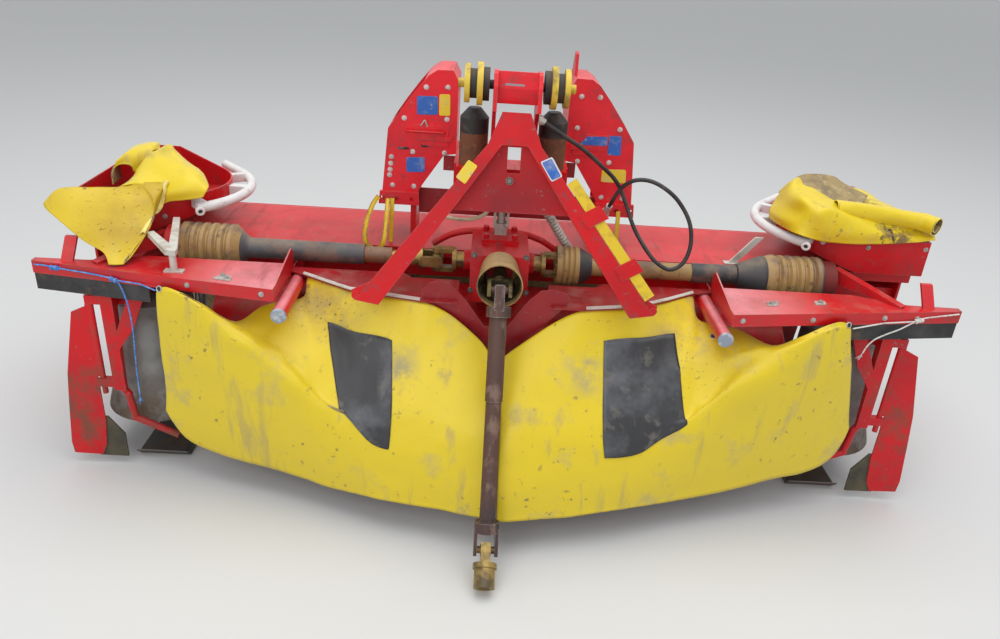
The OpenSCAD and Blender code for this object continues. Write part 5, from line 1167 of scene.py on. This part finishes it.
# %% Swept sections
def swept(name, route, section, across, material, body="frame", steps=6):
    """A closed solid that carries a section of (sideways, up) points along a route."""
    line = [Vector(p) for p in smooth_route(route, steps)]
    verts, faces, count = [], [], len(section)
    for i, place in enumerate(line):
        along = (line[min(i + 1, len(line) - 1)] - line[max(i - 1, 0)]).normalized()
        sideways = (Vector(across) - along * along.dot(Vector(across))).normalized()
        rise = sideways.cross(along)
        verts += [place + sideways * s + rise * r for s, r in section]
    for i in range(len(line) - 1):
        for k in range(count):
            a, b = i * count + k, i * count + (k + 1) % count
            faces.append((a, b, b + count, a + count))
    faces.append(tuple(range(count))[::-1])
    faces.append(tuple((len(line) - 1) * count + k for k in range(count)))
    return mesh_piece(name, verts, faces, [material], body)


def flat(width, thickness):
    """The section of a flat band with chamfered edges."""
    w, t, c = width / 2, thickness / 2, thickness / 4
    return [(-w + c, -t), (w - c, -t), (w, -t + c), (w, t - c), (w - c, t), (-w + c, t), (-w, t - c), (-w, -t + c)]


def round_bar(radius, sides=14):
    """The section of a round bar."""
    angles = [2 * math.pi * k / sides for k in range(sides)]
    return [(radius * math.cos(angle), radius * math.sin(angle)) for angle in angles]


# %% Bands and the cream pipe
swept("yellow_band_loop", [(-0.451, 0.131, 0.944), (-0.468, 0.104, 0.92), (-0.485, 0.078, 0.868),
                           (-0.49, 0.066, 0.818), (-0.478, 0.063, 0.785), (-0.455, 0.062, 0.772),
                           (-0.433, 0.063, 0.784), (-0.423, 0.07, 0.82), (-0.418, 0.098, 0.89),
                           (-0.418, 0.131, 0.938)], flat(0.0035, 0.016), (0, 1, 0.15), yellow_paint)
swept("yellow_strap_left", [(-0.402, 0.1305, 0.94), (-0.403, 0.124, 0.88), (-0.405, 0.12, 0.83),
                            (-0.406, 0.117, 0.7825)], flat(0.015, 0.004), (1, 0, 0), yellow_paint)
swept("yellow_strap_right", [(0.394, 0.1305, 0.94), (0.396, 0.124, 0.89), (0.398, 0.12, 0.83),
                             (0.4, 0.117, 0.7825)], flat(0.015, 0.004), (1, 0, 0), yellow_paint)
cream_plastic = finish("cream_plastic", (0.55, 0.45, 0.3), 0.5, bumps=[(120, 0.1, 0.001)], layers=[
    spots((0.25, 0.17, 0.1), 0.7, 0.7, 22, 0.48, 0.64)])
swept("cream_pipe", [(-0.087, -0.052, 1.041), (-0.07, -0.068, 1.018), (-0.065, -0.076, 0.996),
                     (-0.076, -0.08, 0.973), (-0.108, -0.08, 0.956), (-0.151, -0.072, 0.947),
                     (-0.191, -0.055, 0.945), (-0.215, -0.03, 0.94), (-0.228, 0.01, 0.925)],
      round_bar(0.0065), (0, 0, 1), cream_plastic)
swept("rear_arch_tube", [(-0.252, 0.096, 0.7925), (-0.236, 0.094, 0.806), (-0.185, 0.092, 0.835), (-0.124, 0.091, 0.85),
                         (-0.019, 0.09, 0.856), (0.06, 0.091, 0.849), (0.119, 0.092, 0.833),
                         (0.166, 0.094, 0.806), (0.18, 0.096, 0.7925)], round_bar(0.0115), (0, 1, 0), red_paint)
swept("cover_handle_bar_left", [(-0.358, 0.1465, 1.177), (-0.354, 0.139, 1.177), (-0.346, 0.1365, 1.177),
                                (-0.24, 0.1315, 1.178), (-0.232, 0.134, 1.178), (-0.228, 0.1415, 1.178)],
      round_bar(0.0042), (0, 0, 1), red_paint)
swept("cover_latch_left", [(-0.309, 0.1405, 1.196), (-0.302, 0.1385, 1.206), (-0.295, 0.1375, 1.216),
                           (-0.289, 0.1385, 1.204), (-0.286, 0.1405, 1.194)], flat(0.004, 0.005), (0, 1, 0),
      chalky_zinc)
swept("rear_cross_plate", [(-0.314, 0.19, 0.921), (-0.1, 0.1895, 0.921), (0.1, 0.1895, 0.921),
                           (0.314, 0.19, 0.921)], flat(0.092, 0.006), (0, 0, 1), red_with_painted_shade)
for side, s in (("left", -1), ("right", 1)):
    swept("beam_end_" + side, [(s * 0.229, 0.1605, 1.069), (s * 0.208, 0.16, 1.069), (s * 0.1865, 0.1605, 1.069)],
          flat(0.052, 0.006), (0, 0, 1), red_with_painted_shade)

# %% [markdown]
# ## Turned fittings
# The stub tubes have pale end caps, the hoops white end rings, and the open input guard is
# lined with old grease that the joint has thrown off. Each is one profile turned about an axis;
# the grease has lumps, so its radius also varies along the turn.

# %% Turned pieces
def turned(name, at, direction, profile, material, body="frame", sides=24, lumps=0.0):
    """A solid of revolution from a closed profile of (radius, height) points."""
    return mesh_piece(name, *lathe(at, direction, profile, sides, lumps=lumps), [material], body)


pale_cap = finish("pale_tube_cap", (0.3, 0.34, 0.42), 0.35, 0.3, bumps=[(110, 0.1, 0.001)], layers=[
    spots((0.62, 0.61, 0.58), 0.5, 0.7, 30, 0.5, 0.6)])
for side, s in (("left", -1), ("right", 1)):
    turned("stub_cap_" + side, (s * 0.69, -0.3705, 0.708), (0, -1, 0),
           [(0.0002, 0.0), (0.0245, 0.0), (0.025, 0.002), (0.024, 0.0065), (0.018, 0.0085), (0.0002, 0.0095)],
           pale_cap)
    hoop_end, hoop_way = (s * 1.03, -0.002, 0.9015), (-0.45 * s, -0.88, -0.1)
    turned("hoop_end_ring_" + side, hoop_end, hoop_way,
           [(0.0125, 0.0), (0.0155, 0.002), (0.0155, 0.011), (0.0125, 0.013), (0.0075, 0.013), (0.0075, 0.002)],
           white_enamel, "side_guard_" + side)
    # Painted shade: a black disc in each ring's open end, for the dark inside the hollow hoop.
    turned("hoop_end_hole_shade_" + side, hoop_end, hoop_way,
           [(0.0002, 0.006), (0.0074, 0.006), (0.0074, 0.0076), (0.004, 0.0068), (0.0002, 0.0066)],
           black_rubber, "side_guard_" + side)
grease = finish("old_grease", (0.045, 0.036, 0.022), 0.28, bumps=[(60, 0.6, 0.006), (160, 0.3, 0.002)], layers=[
    spots((0.26, 0.2, 0.08), 0.4, 0.85, 20, 0.48, 0.6)])
turned("input_guard_grease", (-0.02, -0.205, 0.825), (0, -1, 0),
       [(0.056, 0.016), (0.058, 0.045), (0.061, 0.072), (0.064, 0.1), (0.061, 0.103), (0.057, 0.09),
        (0.051, 0.07), (0.05, 0.045), (0.051, 0.018)], grease, sides=60, lumps=0.012)

# %% Painted shade in the cover slots, and plates and bolts on the decks
# Painted shade: thin black strips in the left tower cover's slots, for the shadow in them.
gap_shade_film = film("painted_gap_shade", (0.012, 0.01, 0.01))
COVER_GAP_SHADES = (("low", [(-0.387, 1.119), (-0.348, 1.119), (-0.348, 1.1115), (-0.387, 1.111)]),
              ("high", [(-0.307, 1.134), (-0.284, 1.134), (-0.286, 1.1225), (-0.305, 1.1225)]))
for place, corners in COVER_GAP_SHADES:
    sticker("cover_gap_shade_" + place + "_left", on_tower(corners), gap_shade_film)
DECK_TOP, PLATE_THICKNESS = 0.7804, 0.003
DECK_PLATES = (
    ("left", [(-0.914, -0.286), (-0.888, -0.247), (-0.856, -0.266), (-0.852, -0.299)],
     [(-0.885, -0.262), (-0.868, -0.28)]),
    ("right", [(0.842, -0.262), (0.88, -0.256), (0.884, -0.228), (0.846, -0.232)],
     [(0.856, -0.246), (0.874, -0.242)]),
    ("outer_right", [(1.008, -0.232), (1.046, -0.226), (1.05, -0.2), (1.012, -0.204)], [(1.03, -0.214)]))
for side, corners, heads in DECK_PLATES:
    sticker("deck_plate_" + side, [(x, y, DECK_TOP) for x, y in corners], chalky_zinc, lift=PLATE_THICKNESS)
    bolts("deck_bolts_" + side, [((x, y, DECK_TOP + PLATE_THICKNESS), TOP) for x, y in heads], 0.01, galvanised,
          "frame")
